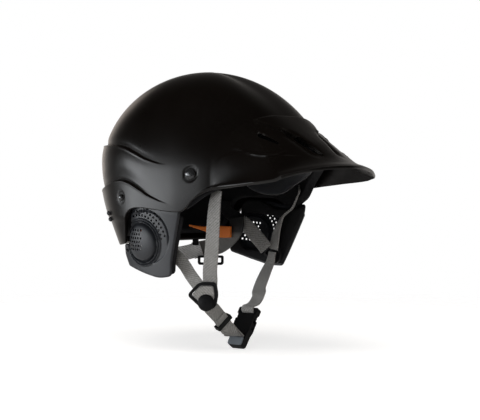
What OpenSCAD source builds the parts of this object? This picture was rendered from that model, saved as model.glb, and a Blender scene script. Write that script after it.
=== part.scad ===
// Whitewater helmet with a moulded visor, ear pads and a webbing harness.
// Origin: centre of the head opening at the rim. Front is -Y, up is +Z, wearer's right is -X.

/* [Shell] */
// half of the dome's width at its widest level
dome_a = 104.4; // [90:0.1:120]
// reach of the dome ahead of its section centre
dome_front = 138.8; // [110:0.1:160]
// reach of the dome behind its section centre
dome_rear = 118.2; // [95:0.1:140]
// how far the section centre lies behind the origin
centre_back = 15; // [0:0.5:30]
// height of the crown
crown_z = 149.8; // [130:0.1:170]
// height of the widest level
wide_z = 42.6; // [20:0.1:60]
// wall of the outer shell
shell_t = 3; // [2:0.1:5]
// reach of the visor ahead of the origin, on the centre line
visor_reach = 172.5; // [150:0.5:200]
// half of the visor's width at its corners
visor_half = 88; // [70:1:100]
// how far the visor's corners lie behind its middle
visor_arch = 27; // [10:1:50]
// height of the visor's edge on the centre line
visor_z = 47.5; // [30:0.5:70]
// how far the visor's edge drops at its corners
visor_drop = 10.5; // [0:0.5:30]
// how far the raised centre panel stands out at its top step
panel_h = 3; // [0:0.1:6]
// depth of the scoop beside the centre panel
scoop_depth = 5; // [0:0.1:8]
// how far the rear band stands out below its step
rear_step = 2; // [0:0.1:4]
// how far the nape section stands out below its crease
nape_step = 2.2; // [0:0.1:4]
// width of a vent slot
slot_w = 4.6; // [2:0.1:10]
// radius of a temple rivet's head
rivet_r = 5.4; // [3:0.1:8]

/* [Liner] */
// thickness of the foam liner
foam_t = 11; // [6:0.5:20]
// gap between the shell and the foam liner
liner_gap = 1.2; // [0.5:0.1:3]
// thickness of the brow pad
brow_t = 5; // [3:0.5:10]

/* [Ear pads] */
// how far the left pad sits behind the right one, negative is ahead
left_pad_back = -11; // [-20:1:10]
// forward tip of the left pad
left_pad_tip = 4; // [0:1:12]
// how far the left pad's front edge is turned out
left_pad_yaw = 3; // [0:1:12]
// outer radius of the bent ear cover
ear_r = 124; // [90:1:180]
// how far inside the dome's half width the cover's outer face lies
ear_inset = 4.9; // [2:0.1:12]
// how far the pad leans in toward its bottom
ear_lean = 6.5; // [0:0.5:15]
// thickness of the ear cover's plastic
ear_t = 3.2; // [2:0.1:6]
// thickness of the ear pad's foam
ear_foam_t = 6; // [4:0.5:14]
// radius of the round field over the ear
ear_field_r = 28.5; // [15:0.5:35]
// diameter of the sound holes
hole_d = 2.2; // [1:0.1:3]

/* [Harness] */
// width of the harness webbing
web_w = 16; // [10:0.5:25]
// thickness of the harness webbing
web_t = 1.6; // [1:0.1:3]
// thickness of the strap dividers
divider_t = 2.6; // [2:0.1:5]
// length of the chin buckle, closed
buckle_len = 46.9; // [40:0.1:60]
// width of the chin buckle
buckle_w = 24; // [18:1:40]
// thickness of the chin buckle
buckle_t = 8; // [6:0.5:14]
// width of the nape band
nape_w = 17; // [10:0.5:25]
// width of the pale plates at its ends
plate_w = 19; // [12:0.5:26]

/* [Hidden] */

black = "#141416";
matte = "#3a3b3e";
foam = "#1b1b1d";
grey = "#a9a9a6";

// ---- small helpers ----
function ss(a, b, v) = let(t = max(0, min(1, (v - a) / (b - a)))) t * t * (3 - 2 * t);
function unit(v) = v / max(norm(v), 1e-9);
// smooth curve through [place, value] stations
function slope(T, i) = i == 0 ? (T[1][1] - T[0][1]) / (T[1][0] - T[0][0])
    : i == len(T) - 1 ? (T[i][1] - T[i - 1][1]) / (T[i][0] - T[i - 1][0])
    : (T[i + 1][1] - T[i - 1][1]) / (T[i + 1][0] - T[i - 1][0]);
function seat(T, v, i = 0) = i >= len(T) - 2 || v < T[i + 1][0] ? i : seat(T, v, i + 1);
function curve(T, v) =
    let(i = seat(T, v), w = T[i + 1][0] - T[i][0], t = max(0, min(1, (v - T[i][0]) / w)))
    (2 * t ^ 3 - 3 * t ^ 2 + 1) * T[i][1] + (t ^ 3 - 2 * t ^ 2 + t) * w * slope(T, i)
    + (3 * t ^ 2 - 2 * t ^ 3) * T[i + 1][1] + (t ^ 3 - t ^ 2) * w * slope(T, i + 1);

// ---- the dome: sections are superellipses about a centre that moves back toward the crown ----
section_m = 2.17;
corner_ang = 36.2;
temple_ang = 58.1;
// lower edge of the shell behind the visor: angle from the front, height
RIM = [[36.2, 37], [38.5, 33.8], [47, 29.5], [58.1, 23], [62.9, 18.5], [66.9, 12], [70.2, 4], [73, 0.6],
    [80.4, 1.2], [94, 4.6], [100, 3.6], [104.4, -1.5], [106.6, -9.4], [108.2, -22], [109.6, -31],
    [112, -34.5], [125, -36.5], [180, -38]];
// crease above the nape section, and the line that the mesh follows below the visor's root
LOW = [[0, 57], [32, 58], [45, 61], [54, 55], [63, 30], [70, 13], [75, 7], [80.5, 9.5], [87, 15], [93.5, 22.2],
    [101, 29.4], [108, 32.5], [116, 31], [127, 26], [142, 21.5], [180, 20]];
// step at the root of the visor's panel in front, and of the rear band behind
STEP = [[0, 99], [22, 98], [40, 90], [58, 66], [70, 52], [80, 49], [90, 54.5], [98, 61], [106, 66.5],
    [115, 69], [180, 71]];

function dome(a, z) =
    let(c = cos(a), s = abs(sin(a)),
        n = 1.52 * (c > 0 ? c * c : 0) + 1.9 * (c < 0 ? c * c : 0) + 2.2 * s * s,
        h = crown_z - wide_z,
        up = max(0, min(1, (z - wide_z) / h)),
        dn = max(0, wide_z - z) / (120 + 140 * s ^ 6),
        k = z > wide_z ? max(0, 1 - up ^ n) ^ (1 / n) : sqrt(max(0, 1 - dn * dn)),
        r = (abs(c) ^ section_m + s ^ section_m) ^ (-1 / section_m))
    [-dome_a * k * sin(a) * r,
     -(-centre_back + 4.5 * up * up + (c > 0 ? dome_front : dome_rear) * k * c * r), z];

function mir(a) = abs(a > 180 ? 360 - a : a);
function side(a) = a > 180 || a < 0 ? -1 : 1;
function rim_z(a) = let(b = mir(a))
    b <= corner_ang ? visor_z - visor_drop * (b / corner_ang) ^ 2.4 : curve(RIM, b);

// edge of the visor in plan, and how far the dome is pulled out toward it
function visor_edge(b) = b <= corner_ang
    ? [-visor_half * b / corner_ang, -(visor_reach - visor_arch * (b / corner_ang) ^ 1.6)]
    : let(t = (b - corner_ang) / (temple_ang - corner_ang), e = dome(temple_ang, rim_z(temple_ang)))
      [-visor_half * (1 - t) + e[0] * t, -(visor_reach - visor_arch) * (1 - t) + e[1] * t];
PULL = [[0, 0], [0.2, 0.08], [0.36, 0.17], [0.55, 0.32], [0.7, 0.45], [0.85, 0.62], [0.94, 0.8], [1, 1]];
function visor(b, z) = b >= temple_ang ? [0, 0, 0]
    : let(zr = rim_z(b), d = dome(b, zr), e = visor_edge(b),
        t = max(0, min(1, (curve(STEP, b) + 1 - z) / (curve(STEP, b) + 1 - zr))))
    [e[0] - d[0], e[1] - d[1], 0] * curve(PULL, t);

// relief on the outside, along the dome's outward direction
function relief(b, x, z) =
    let(st = curve(STEP, b), lo = curve(LOW, b), ax = abs(x),
        half = 20 + 30 * ss(74, 94, z),
        panel = b > 60 ? 0 : panel_h * ss(st + 1, st - 1, z) * (1 - ss(half - 3, half + 3, ax))
            * ss(50, 72, z),
        sx = 27 - 6 * ss(85, 57, z),
        scoop = b > 60 ? 0 : scoop_depth * exp(-((ax - sx) / 6) ^ 2) * ss(84, 76, z) * ss(54, 62, z),
        ridge = b > 75 ? 0 : 1.4 * ss(lo + 1, lo - 1, z) * ss(18, 30, b) * (1 - ss(50, 56, b))
            * ss(lo - 26, lo - 4, z),
        band = b < 78 ? 0 : ss(78, 106, b) * (rear_step * ss(st + 1, st - 1, z) * ss(st - 36, st - 4, z)
            - 1.0 * ss(st + 9, st + 1.2, z) * ss(st - 1, st + 1, z)
            - 1.2 * (1 - ss(lo, lo + 18, z)) * ss(lo - 1, lo + 1, z)),
        nape = b < 76 ? 0 : nape_step * ss(76, 100, b) * ss(lo + 1, lo - 1, z)
            * (0.35 + 0.65 * ss(-14, -6, z)))
    panel - scoop + ridge + band + nape;

function outdir(p) = unit([p[0] / dome_a ^ 2, (p[1] - centre_back) / dome_front ^ 2,
    0.6 * (p[2] - wide_z) / (crown_z - wide_z) ^ 2]);

function skin_half(b, z, fine) =
    let(d = dome(b, z), v = visor(b, z)) d + v + outdir(d) * (fine ? relief(b, d[0] + v[0], z) : 0);
function skin(a, z, fine = true) = let(p = skin_half(mir(a), z, fine)) [p[0] * side(a), p[1], p[2]];
// straight inward by t, by the surface's own slope
function inward(a, z, t) =
    let(u = skin(a - 1, z, false), v = skin(a + 1, z, false), w = skin(a, z, false),
        h = min(z + 1.5, crown_z - 0.5), q = skin(a, h, false),
        n = unit(cross(v - u, q - w)))
    w + n * t * (n * [w[0], w[1] - centre_back, w[2]] > 0 ? -1 : 1);

// height of row j of n, from the lower edge za to the crown, bunched toward the crown
function rise(za, t) =
    let(h = crown_z - wide_z, ba = za >= wide_z ? asin((za - wide_z) / h) : asin((za - wide_z) / 130),
        b = ba + (88 - ba) * t)
    b >= 0 ? wide_z + h * sin(b) : wide_z + 130 * sin(b);

ANG = [for (i = [0:12]) corner_ang * i / 12, for (i = [1:5]) corner_ang + (temple_ang - corner_ang) * i / 5,
    61, 64, 67, 70, 73, 77, 82, 87, 92, 96, 99.5, 101.8, 103.6, 105, 106.3, 107.6, 110,
    for (i = [1:14]) 110 + 70 * i / 14];
COLS = [for (v = ANG) v, for (i = [len(ANG) - 2:-1:1]) 360 - ANG[i]];
NC = len(COLS);

rows_a = 7;
rows_b = 8;
rows_c = 10;
function row_z(a, j) =
    let(b = mir(a), r = rim_z(a), lo = max(curve(LOW, b), r + 4), st = max(curve(STEP, b), lo + 8))
    j <= rows_a ? r + (lo - 1 - r) * j / rows_a
    : j <= rows_a + 1 + rows_b ? lo + 1 + (st - lo - 2) * (j - rows_a - 1) / rows_b
    : rise(st + 1, (j - rows_a - rows_b - 2) / rows_c);
NR = rows_a + rows_b + rows_c + 3;
function in_z(a, j, n) = let(b = mir(a), r = rim_z(a), st = curve(STEP, b))
    j <= 4 ? r + (st - r) * j / 4 : rise(st, (j - 4) / (n - 5));
NI = 11;

// two closed grids joined along the lower edge: outer rows go up, inner rows go up inside
module two_skins(outer, inner, top_out, top_in) {
    nc = len(outer[0]);
    no = len(outer);
    ni = len(inner);
    k = no * nc;
    apex = (no + ni) * nc;
    mid_o = (outer[no - 1][0][1] + outer[no - 1][nc / 2][1]) / 2;
    mid_i = (inner[ni - 1][0][1] + inner[ni - 1][nc / 2][1]) / 2;
    pts = concat([for (r = outer) each r], [for (r = inner) each r],
        [[0, mid_o, top_out], [0, mid_i, top_in]]);
    polyhedron(pts, concat(
        [for (j = [0:no - 2], i = [0:nc - 1]) let(m = (i + 1) % nc)
            each [[j * nc + i, j * nc + m, (j + 1) * nc + m], [j * nc + i, (j + 1) * nc + m, (j + 1) * nc + i]]],
        [for (j = [0:ni - 2], i = [0:nc - 1]) let(m = (i + 1) % nc)
            each [[k + j * nc + i, k + (j + 1) * nc + m, k + j * nc + m],
                  [k + j * nc + i, k + (j + 1) * nc + i, k + (j + 1) * nc + m]]],
        [for (i = [0:nc - 1]) let(m = (i + 1) % nc)
            each [[i, k + m, m], [i, k + i, k + m],
                  [(no - 1) * nc + i, (no - 1) * nc + m, apex],
                  [k + (ni - 1) * nc + i, apex + 1, k + (ni - 1) * nc + m]]]));
}

// a closed solid through a row of equal loops, capped at both ends
module loops(L) {
    n = len(L[0]);
    m = len(L);
    polyhedron([for (r = L) each r], concat(
        [for (j = [0:m - 2], i = [0:n - 1]) let(k = (i + 1) % n)
            each [[j * n + i, j * n + k, (j + 1) * n + k], [j * n + i, (j + 1) * n + k, (j + 1) * n + i]]],
        [for (i = [1:n - 2]) [0, i + 1, i]],
        [for (i = [1:n - 2]) [(m - 1) * n, (m - 1) * n + i, (m - 1) * n + i + 1]]));
}

// smooth path through stations
function knot(P, i) = P[max(0, min(len(P) - 1, i))];
function smooth(P, n) = concat([for (i = [0:len(P) - 2], j = [0:n - 1]) let(t = j / n,
        a = knot(P, i - 1), b = P[i], c = P[i + 1], d = knot(P, i + 2))
    0.5 * (2 * b + (c - a) * t + (2 * a - 5 * b + 4 * c - d) * t * t + (3 * b - a - 3 * c + d) * t ^ 3)],
    [P[len(P) - 1]]);

// webbing along a path, W gives the direction across it
module web(P, W, w = web_w, t = web_t, n = 4, lift = 0) {
    Q = smooth([for (p = P) spread(p)], n);
    V = smooth(W, n);
    loops([for (i = [0:len(Q) - 1]) let(
        g = unit(knot(Q, i + 1) - knot(Q, i - 1)), a = unit(V[i] - g * (g * V[i])), b = cross(g, a),
        c = Q[i] + b * lift)
        [c - a * w / 2 - b * t / 2, c - a * w / 2 + b * t / 2,
         c + a * w / 2 + b * t / 2, c + a * w / 2 - b * t / 2]]);
}

// corners of a flat outline rounded, R gives each corner's radius
function rounded(P, R, n = 4) = [for (i = [0:len(P) - 1]) let(
        a = P[(i + len(P) - 1) % len(P)], b = P[i], c = P[(i + 1) % len(P)],
        u = unit(a - b), v = unit(c - b), h = acos(u * v) / 2, o = b + unit(u + v) * R[i] / sin(h),
        s = b + u * R[i] / tan(h) - o, e = b + v * R[i] / tan(h) - o, w = 180 - 2 * h)
    for (k = [0:n]) o + (s * sin(w * (1 - k / n)) + e * sin(w * k / n)) / sin(w)];

// stands a child on the shell's outside, its +Z pointing out
module on_shell(a, z, lift = 0) {
    p = skin(a, z);
    d = outdir(p);
    translate(p + d * lift) rotate([0, acos(d[2]), atan2(d[1], d[0])]) children();
}
module flip() mirror([1, 0, 0]) children();

temple_ang_rivet = 67.4;
temple_rivet_z = 39;
nape_ang_rivet = 107.5;
nape_rivet_z = 14.6;
// vent through the shell between two places, each an angle and a height
module vent(p, q, w) hull() {
    on_shell(p[0], p[1], -7) cylinder(d = w, h = 12, $fn = 16);
    on_shell(q[0], q[1], -7) cylinder(d = w * 0.8, h = 12, $fn = 16);
}
module vents() {
    vent([34.6, 78], [27.6, 70.3], slot_w);
    vent([11.5, 73.5], [8.4, 63.6], slot_w);
}

module outer_shell() color(black) difference() {
    two_skins([for (j = [0:NR - 1]) [for (a = COLS) skin(a, row_z(a, j))]],
        [for (j = [0:NI - 1]) [for (a = COLS) inward(a, in_z(a, j, NI), shell_t)]],
        crown_z, crown_z - shell_t);
    vents();
    flip() vents();
}

// ---- liner ----
LINER = [[0, 46], [30, 44], [42, 36], [50, 26], [58.1, 18.5], [62.9, 12.4], [66.9, 6], [70.2, 1.2], [74, 5.4],
    [80, 9.5], [94, 10.5], [100, 10], [107, 4], [111, -16], [115, -27], [125, -32], [180, -34]];
LCOLS = [for (i = [0:59]) 6 * i];
function under(a, z, t) = let(d = dome(mir(a), z), p = d - outdir(d) * t) [p[0] * side(a), p[1], p[2]];
function liner_row(a, j, n) = rise(curve(LINER, mir(a)), j / n);
foam_in = shell_t + liner_gap + foam_t;
module foam_liner() color(foam)
    two_skins([for (j = [0:10]) [for (a = LCOLS) under(a, liner_row(a, j, 10), shell_t + liner_gap)]],
        [for (j = [0:10]) [for (a = LCOLS) under(a, liner_row(a, j, 10), foam_in)]],
        crown_z - shell_t - liner_gap, crown_z - foam_in);

BROW = [[0, 45], [30, 43], [42, 38], [52, 31], [60, 25], [70, 14.5], [78, 12], [86, 14], [93, 19], [97, 24]];
module brow_pad() color("#5b6472")
    loops([for (a = [-96:6:96]) let(b = abs(a), lo = curve(BROW, b), hi = lo + 30 - 8 * ss(60, 96, b),
            e = 1 - ss(84, 99, b) * 0.5, i = foam_in + 1.2)
        [under(a, lo + 1.5, i), under(a, lo, i + brow_t * 0.5 * e), under(a, lo + 3, i + brow_t * e),
         under(a, (lo + hi) / 2, i + (brow_t + 1) * e), under(a, hi - 3, i + brow_t * e),
         under(a, hi, i + brow_t * 0.5 * e), under(a, hi - 1.5, i), under(a, (lo + hi) / 2, i)]]);

// ---- rivets on the shell ----
module rivet_head(r) rotate_extrude($fn = 28) polygon([[0, 0], [r, 0], [r, 0.7], [r * 0.9, 1.5],
    [r * 0.68, 2.2], [r * 0.4, 2.6], [0, 2.8]]);
module temple_rivets() color("#2a2a2c") {
    on_shell(temple_ang_rivet, temple_rivet_z, 0.25) rivet_head(rivet_r);
    on_shell(-temple_ang_rivet, temple_rivet_z, 0.25) rivet_head(rivet_r);
}
module nape_rivets() color("#2a2a2c") {
    on_shell(nape_ang_rivet, nape_rivet_z, 0.45) rivet_head(3.4);
    on_shell(-nape_ang_rivet, nape_rivet_z, 0.45) rivet_head(3.4);
}
module rear_studs() color(matte) {
    for (z = [-2.5, -9]) {
        on_shell(124, z, 0.45) rivet_head(2.6);
        on_shell(-124, z, 0.45) rivet_head(2.6);
    }
}

// ---- ear pads ----
// drawn in the pad's own frame: hinge line along Y at the origin, the pad hanging down
hinge_z = 4;
ear_x = dome_a - ear_inset;
ear_mid = 12;
EAR = rounded([[45, -6.5], [38, -1.2], [24, -0.2], [-2, -3.6], [-14, -4.4], [-27.5, -4.6], [-26, -10],
    [-12.5, -58], [-10, -70.5], [5, -73], [30, -70], [53, -64.5], [58, -52], [57.5, -40.5], [50, -40.5], [47, -24]],
    [3, 8, 10, 30, 20, 2, 10, 20, 5, 50, 60, 3, 12, 2, 2, 20]);
EAR_FLAP = [[-24, -1], [-6, 0], [10, 2], [38, 2], [41, 0], [44, -4], [44, -9], [41, -9], [34, -4.5], [24, -4], [-2, -7],
    [-24, -8.5]];
field_c = [21, -31];
ring_c = [31, -38];
module ear_frame() translate([-ear_x, 0, hinge_z]) rotate([0, -ear_lean, 0]) children();
module ear_tube(ro, ri, lo = -80, hi = 6) translate([ear_r, ear_mid, lo]) difference() {
    cylinder(r = ro, h = hi - lo, $fn = 180);
    translate([0, 0, -1]) cylinder(r = ri, h = hi - lo + 2, $fn = 180);
}
// flat outline pushed through the pad's thickness
module ear_prism(P, depth = 30) rotate([90, 0, 90]) translate([0, 0, -4]) linear_extrude(depth) polygon(P);
function field_turn() = -asin((field_c[0] - ear_mid) / ear_r);
// stands a child on the cover, +Z out, at a place beside the round field's centre
module on_cover(y, z, lift = 0) let(g = asin((ring_c[0] + y - ear_mid) / ear_r))
    translate([ear_r - (ear_r + lift) * cos(g), ear_mid + (ear_r + lift) * sin(g), ring_c[1] + z])
    rotate([0, -90, 0]) rotate([-g, 0, 0]) children();
// round bar through the pad
module through(c, r, depth = 30) rotate([90, 0, 90]) translate([c[0], c[1], -6]) cylinder(r = r, h = depth, $fn = 72);
module ring(r, wall, rise) intersection() {
    ear_tube(ear_r + rise, ear_r - 2.8, -80, 4);
    difference() { through(ring_c, r); translate([-1, 0, 0]) through(ring_c, r - wall, 32); }
}
module field_rings() {
    ring(24.8, 1.2, 0.2);
    ring(22.2, 1.2, 0.8);
    on_cover(0, 0, -2.6) rotate_extrude($fn = 72) polygon([[0, 0], [19.6, 0], [19.6, 3], [18, 4.4],
        [14, 5.9], [9, 7], [4.5, 7.6], [0, 7.8]]);
}
module sound_hole(r, a) on_cover(-r * cos(a), r * sin(a), -14) cylinder(d = hole_d, h = 24, $fn = 12);
module sound_holes() {
    for (a = [14:8:110]) sound_hole(34, a);
    for (a = [10:9:109]) sound_hole(29.4, a);
    for (i = [0:4], j = [0:5]) let(y = 4.1 * i - 3 + 2 * (j % 2), z = 13.5 - 4.1 * j)
        if (y * y + z * z < 290) on_cover(y, z, -14) cylinder(d = hole_d, h = 24, $fn = 10);
}
module cover_one(flap_in) ear_frame() difference() {
    union() {
        difference() {
            union() {
                intersection() { ear_tube(ear_r, ear_r - ear_t); ear_prism(EAR); }
                // flap behind the shell's rim
                intersection() { ear_tube(ear_r - flap_in, ear_r - 5, -20); ear_prism(EAR_FLAP); }
            }
            // sunk field, with a deeper groove round its front
            difference() {
                through(field_c, ear_field_r);
                translate([ear_r, ear_mid, -90]) cylinder(r = ear_r - 1.2, h = 100, $fn = 180);
            }
            difference() {
                through(field_c, ear_field_r);
                through(field_c, ear_field_r - 1.3, 32);
                translate([ear_r, ear_mid, -90]) cylinder(r = ear_r - 2.4, h = 100, $fn = 180);
                translate([-20, field_c[0] + 4, -90]) cube([60, 60, 100]);
                translate([-20, -60, -90]) cube([60, 120, 86 + field_c[1] - 2]);
            }
        }
        intersection() { field_rings(); ear_prism(EAR, 60); }
    }
    sound_holes();
}
module left_pad() flip() translate([-ear_x, ear_mid + left_pad_back, hinge_z - 1])
    rotate([left_pad_tip, 0, -left_pad_yaw]) translate([ear_x, -ear_mid, -hinge_z]) children();
module ear_cover_right() color(matte) cover_one(0.3);
module ear_cover_left() color(matte) left_pad() cover_one(2.2);

EAR_FOAM = rounded([[42, -11], [34, -8], [24, -7.5], [-2, -10], [-26.5, -10.8], [-26.3, -15], [-13.6, -57],
    [-11.3, -68.5], [5, -70.5], [29, -67.5], [51, -62], [55.5, -51], [55, -43], [47, -42.5], [44.5, -24]],
    [5, 8, 10, 20, 1.5, 6, 16, 5, 50, 50, 3, 10, 2, 2, 20]);
module foam_one() ear_frame() intersection() {
    ear_tube(ear_r - ear_t - 0.1, ear_r - ear_t - ear_foam_t);
    difference() {
        ear_prism(EAR_FOAM);
        rotate([90, 0, 90]) translate([0, 0, -5]) linear_extrude(40)
            polygon(rounded([[38, -14], [-14, -14], [-6, -54], [38, -56], [44, -40]], [6, 12, 12, 10, 8]));
    }
}
module ear_foam_right() color(foam) foam_one();
module ear_foam_left() color(foam) left_pad() foam_one();

module ear_rivet_one() ear_frame() on_cover(25, -9.8, 0.1) rivet_head(1.5);
module ear_rivet_right() color(black) ear_rivet_one();
module ear_rivet_left() color(black) left_pad() ear_rivet_one();

// ---- harness ----
// drawn for a dome of this half width; its sides move with the dome, its chin end doesn't
drawn_a = 104.4;
function spread(p) = [p[0] * (1 + (dome_a / drawn_a - 1) * ss(-125, -85, p[2])), p[1], p[2]];
// a place against the liner's inner face
function on_liner(a, z, t) = let(p = under(a, z, foam_in + t)) [p[0] * drawn_a / dome_a, p[1], p[2]];
module front_strap_right() color(grey) web([[-73.2, -55.6, 22], [-75.3, -54, 12], [-75.6, -52, -8],
    [-72.6, -47.4, -38], [-69.6, -42.6, -60], [-66.8, -40.5, -73], [-66.6, -38, -88]],
    [[-0.35, -1, 0], [0.05, -1, 0], [0.3, -1, 0], [0.4, -1, 0], [0.42, -1, 0.05], [0.42, -1, 0.05],
     [0.42, -1, 0.1]]);
module front_strap_left() color(grey) web([[67.8, -60, 24], [70, -57.5, 17], [75, -46, 2], [76.2, -32, -10],
    [76, -24.3, -24], [74.6, -22, -37], [73.8, -20.5, -46]],
    [[-0.6, -0.75, 0.3], [-0.6, -0.75, 0.3], [-0.5, -0.8, 0.3], [-0.42, -0.85, 0.3], [-0.3, -0.9, 0.2],
     [-0.2, -0.95, 0.1], [-0.2, -0.95, 0.1]]);
// black hangers behind the nape rivets carry the rear straps down from the liner
HANG_R = [on_liner(111, 4, 1.75), on_liner(111, -3, 2.1), [-79, 46.5, -7.5], [-75.6, 38.5, -13.5],
    [-74.72, 32.9, -18.8]];
HANG_L = [on_liner(-111, 4, 1.95), on_liner(-111, -3, 2.3), [79, 45.5, -6.5], [75.6, 34, -10.5],
    [74.95, 26.6, -14.9]];
module nape_hangers() color(black) {
    web(HANG_R, [[0.28, 0.95, -0.1], [0.3, 0.85, -0.4], [0.25, 0.7, -0.65], [0.2, 0.7, -0.65],
        [0.17, 0.72, -0.62]], web_w - 2, web_t, 3);
    web(HANG_L, [[-0.28, 0.95, -0.1], [-0.3, 0.85, -0.4], [-0.3, 0.65, -0.7], [-0.22, 0.62, -0.72],
        [-0.17, 0.66, -0.68]], web_w - 2, web_t, 3);
}
module rear_strap_right() color(grey) web([[-74.66, 32.4, -19.3], [-73.8, 26.5, -25],
    [-71.8, 8.5, -42], [-70, -7, -55], [-68, -15.5, -67], [-65.4, -23, -77], [-62.8, -28.6, -85]],
    [[0.17, 0.72, -0.62], [0.15, 0.75, -0.6], [0.1, 0.7, -0.65], [0.08, 0.75, -0.6], [0.06, 0.8, -0.58],
     [0.06, 0.8, -0.58], [0.06, 0.8, -0.58]]);
module rear_strap_left() color(grey) web([[75.3, 25.4, -16], [75, 18, -20.2], [72.1, 1, -33],
    [69.4, -10.5, -42], [68.6, -14, -45.5]],
    [[-0.17, 0.66, -0.68], [-0.2, 0.66, -0.66], [-0.3, 0.62, -0.66], [-0.2, 0.65, -0.7], [-0.2, 0.65, -0.7]]);

// strap dividers: a rounded three-cornered ring with a domed clamp
RING = rounded([[-18.5, 1], [-5.5, 15], [12.8, 15], [14.8, 2], [12.5, -10.5], [1.5, -16.5]],
    [4, 12, 5, 20, 8, 7]);
RING_IN = rounded([[-14, 1.6], [-4.2, 11.5], [10, 11.5], [11.2, 2], [9.4, -8.4], [1.2, -12.4]],
    [2, 8, 3, 12, 5, 4]);
module ring_plate() linear_extrude(divider_t) difference() { polygon(RING); polygon(RING_IN); }
// a frame at p whose X runs forward along the head and whose Z points away from it
module beside(p, a) let(q = spread(p))
    multmatrix([[cos(a), 0, -sin(a), q[0]], [-sin(a), 0, -cos(a), q[1]], [0, 1, 0, q[2]]]) children();
module at_right_divider() beside([-70.2, -36, -88], 65) children();
module at_left_divider() flip() beside([-76.4, -17, -52], 80) scale([0.85, 0.7, 1]) children();
module divider_right() color(black) at_right_divider() ring_plate();
module divider_left() color(black) at_left_divider() ring_plate();
module divider_knob_right() color(black) at_right_divider() translate([2.1, -6.5, 0]) {
    translate([0, 0, divider_t + 0.1]) rotate_extrude($fn = 40) polygon([[0, 0], [8.8, 0], [8.8, 1.2],
        [7.4, 2.4], [4, 3.2], [0, 3.4]]);
}

// both right straps are folded and sewn round the ring
module strap_gather_right() color(grey) at_right_divider() translate([0, 0, 0.5]) linear_extrude(1.5)
    polygon(rounded([[-13.3, 1.55], [-4, 11.1], [9.6, 11.1], [10.8, 2], [9, -8], [1.2, -11.9]],
        [2, 8, 3, 12, 5, 4]));

// the slider's place on the right lower strap, which runs straight there
slide_mid = [-37.3, -34, -117.6];
slide_run = unit([21, 0.4, -20.6]);
slide_wide = [0.7, -0.3, 0.66];
slide_up = unit(cross(slide_run, slide_wide));
slide_across = cross(slide_up, slide_run);
THROUGH = [for (d = [-9, -6.2, 0, 6.2, 9]) slide_mid + d * slide_run];
ACROSS = [for (p = THROUGH) slide_wide];

// lower straps: the right one runs through the slider to the foot of the buckle
module chin_strap_right() color(grey) web([[-67.6, -37.4, -91], [-65.5, -36.6, -95], [-60.5, -35.4, -99.5],
    [-52.4, -34.3, -104.7], each THROUGH, [-22, -33.3, -128.6], [-13.5, -32.4, -131.4],
    foot_at(-4.4, 11.8), foot_at(0.5, 11.8)],
    [[0.42, -1, 0.1], [0.42, -1, 0.15], [0.5, -0.8, 0.4], [0.65, -0.45, 0.6], each ACROSS,
     [0.35, -0.85, 0.3], [0.1, -1, 0.05], [0, -1, 0], [0, -1, 0]], web_w, web_t, 6);
module chin_strap_left() color(grey) web([[74, -19, -49], [72.6, -18.5, -54.5], [68, -19, -62],
    [58, -21, -71], [47, -24, -80], [37.5, -27, -88.5], foot_at(4.8, 68), foot_at(4.6, 61.5),
    foot_at(2.6, 55), foot_at(-1, 50.7), foot_at(-4.3, 48), foot_at(-5, 45.3), foot_at(-4.2, 42.8),
    foot_at(-1.5, 41.8), foot_at(1, 41.7)],
    [[-0.42, -0.9, 0.1], [-0.42, -0.9, 0.1], [-0.3, -0.95, 0], [-0.15, -1, 0], [0, -1, 0], [0, -1, 0],
     for (i = [0:8]) [0, -1, 0]], web_w, web_t, 2);

// the strap's loose end doubles back over it through the slider
module strap_tail_right() color(grey) web([each THROUGH, [-22.8, -34.1, -129.7], [-14.9, -32.6, -132.4]],
    [each ACROSS, [0.35, -0.85, 0.3], [0.13, -0.98, 0.1]], web_w - 0.6, web_t, 6, web_t + 0.6);

// slider on the right lower strap: X along the strap, Y across it
module slide_frame() let(q = spread(slide_mid))
    multmatrix([for (i = [0:2]) [slide_run[i], slide_across[i], slide_up[i], q[i]]])
    children();
module strap_slider() color(black) slide_frame() difference() {
    translate([-2.6, -10.3, -2.3]) cube([5.2, 20.6, 6.8]);
    translate([-3, -8.6, -1.2]) cube([6, 17.2, 4.6]);
}

// chin buckle: drawn upright from its foot, width along Y, then leaned over
foot = [-10.8, -32, -146.8];
buckle_lean = 33.5;
mouth = 33.3;
function foot_at(x, z) = foot + [x * cos(buckle_lean) + z * sin(buckle_lean), 0,
    z * cos(buckle_lean) - x * sin(buckle_lean)];
module buckle_frame() translate(foot) rotate([0, buckle_lean, 0]) children();
module buckle_socket() color(black) buckle_frame() difference() {
    union() {
        translate([-buckle_t / 2, 0, 0]) rotate([90, 0, 90]) linear_extrude(buckle_t) polygon(rounded(
            [[-9.6, 0], [9.6, 0], [10.4, 14], [12, 20], [12, mouth], [-12, mouth], [-12, 20], [-10.4, 14]],
            [3, 3, 6, 6, 1.5, 1.5, 6, 6]));
    }
    // chamber for the plug
    translate([-buckle_t / 2 + 1.6, -buckle_w / 2 + 1.6, 16]) cube([buckle_t - 3.2, buckle_w - 3.2, 20]);
    // side notches
    translate([-2.2, -buckle_w, 21]) cube([4.4, 2 * buckle_w, 14]);
    // slot for the strap above the foot
    translate([-buckle_t, -8.6, 10.4]) cube([2 * buckle_t, 17.2, 2.8]);
}
module buckle_plug() color(black) buckle_frame() {
    difference() {
        translate([-3.2, 0, 0]) rotate([90, 0, 90]) linear_extrude(6.4) polygon(rounded(
            [[-11, mouth + 0.3], [11, mouth + 0.3], [11, 38], [12.8, 40], [12.8, buckle_len], [-12.8, buckle_len],
             [-12.8, 40], [-11, 38]], [1, 1, 1, 1, 2, 2, 1, 1]));
        translate([-5, -8.6, 40]) cube([10, 17.2, 3.5]);
    }
    // middle tongue
    translate([-1.6, -4, 18]) cube([3.2, 8, mouth - 17.5]);
}
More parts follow.
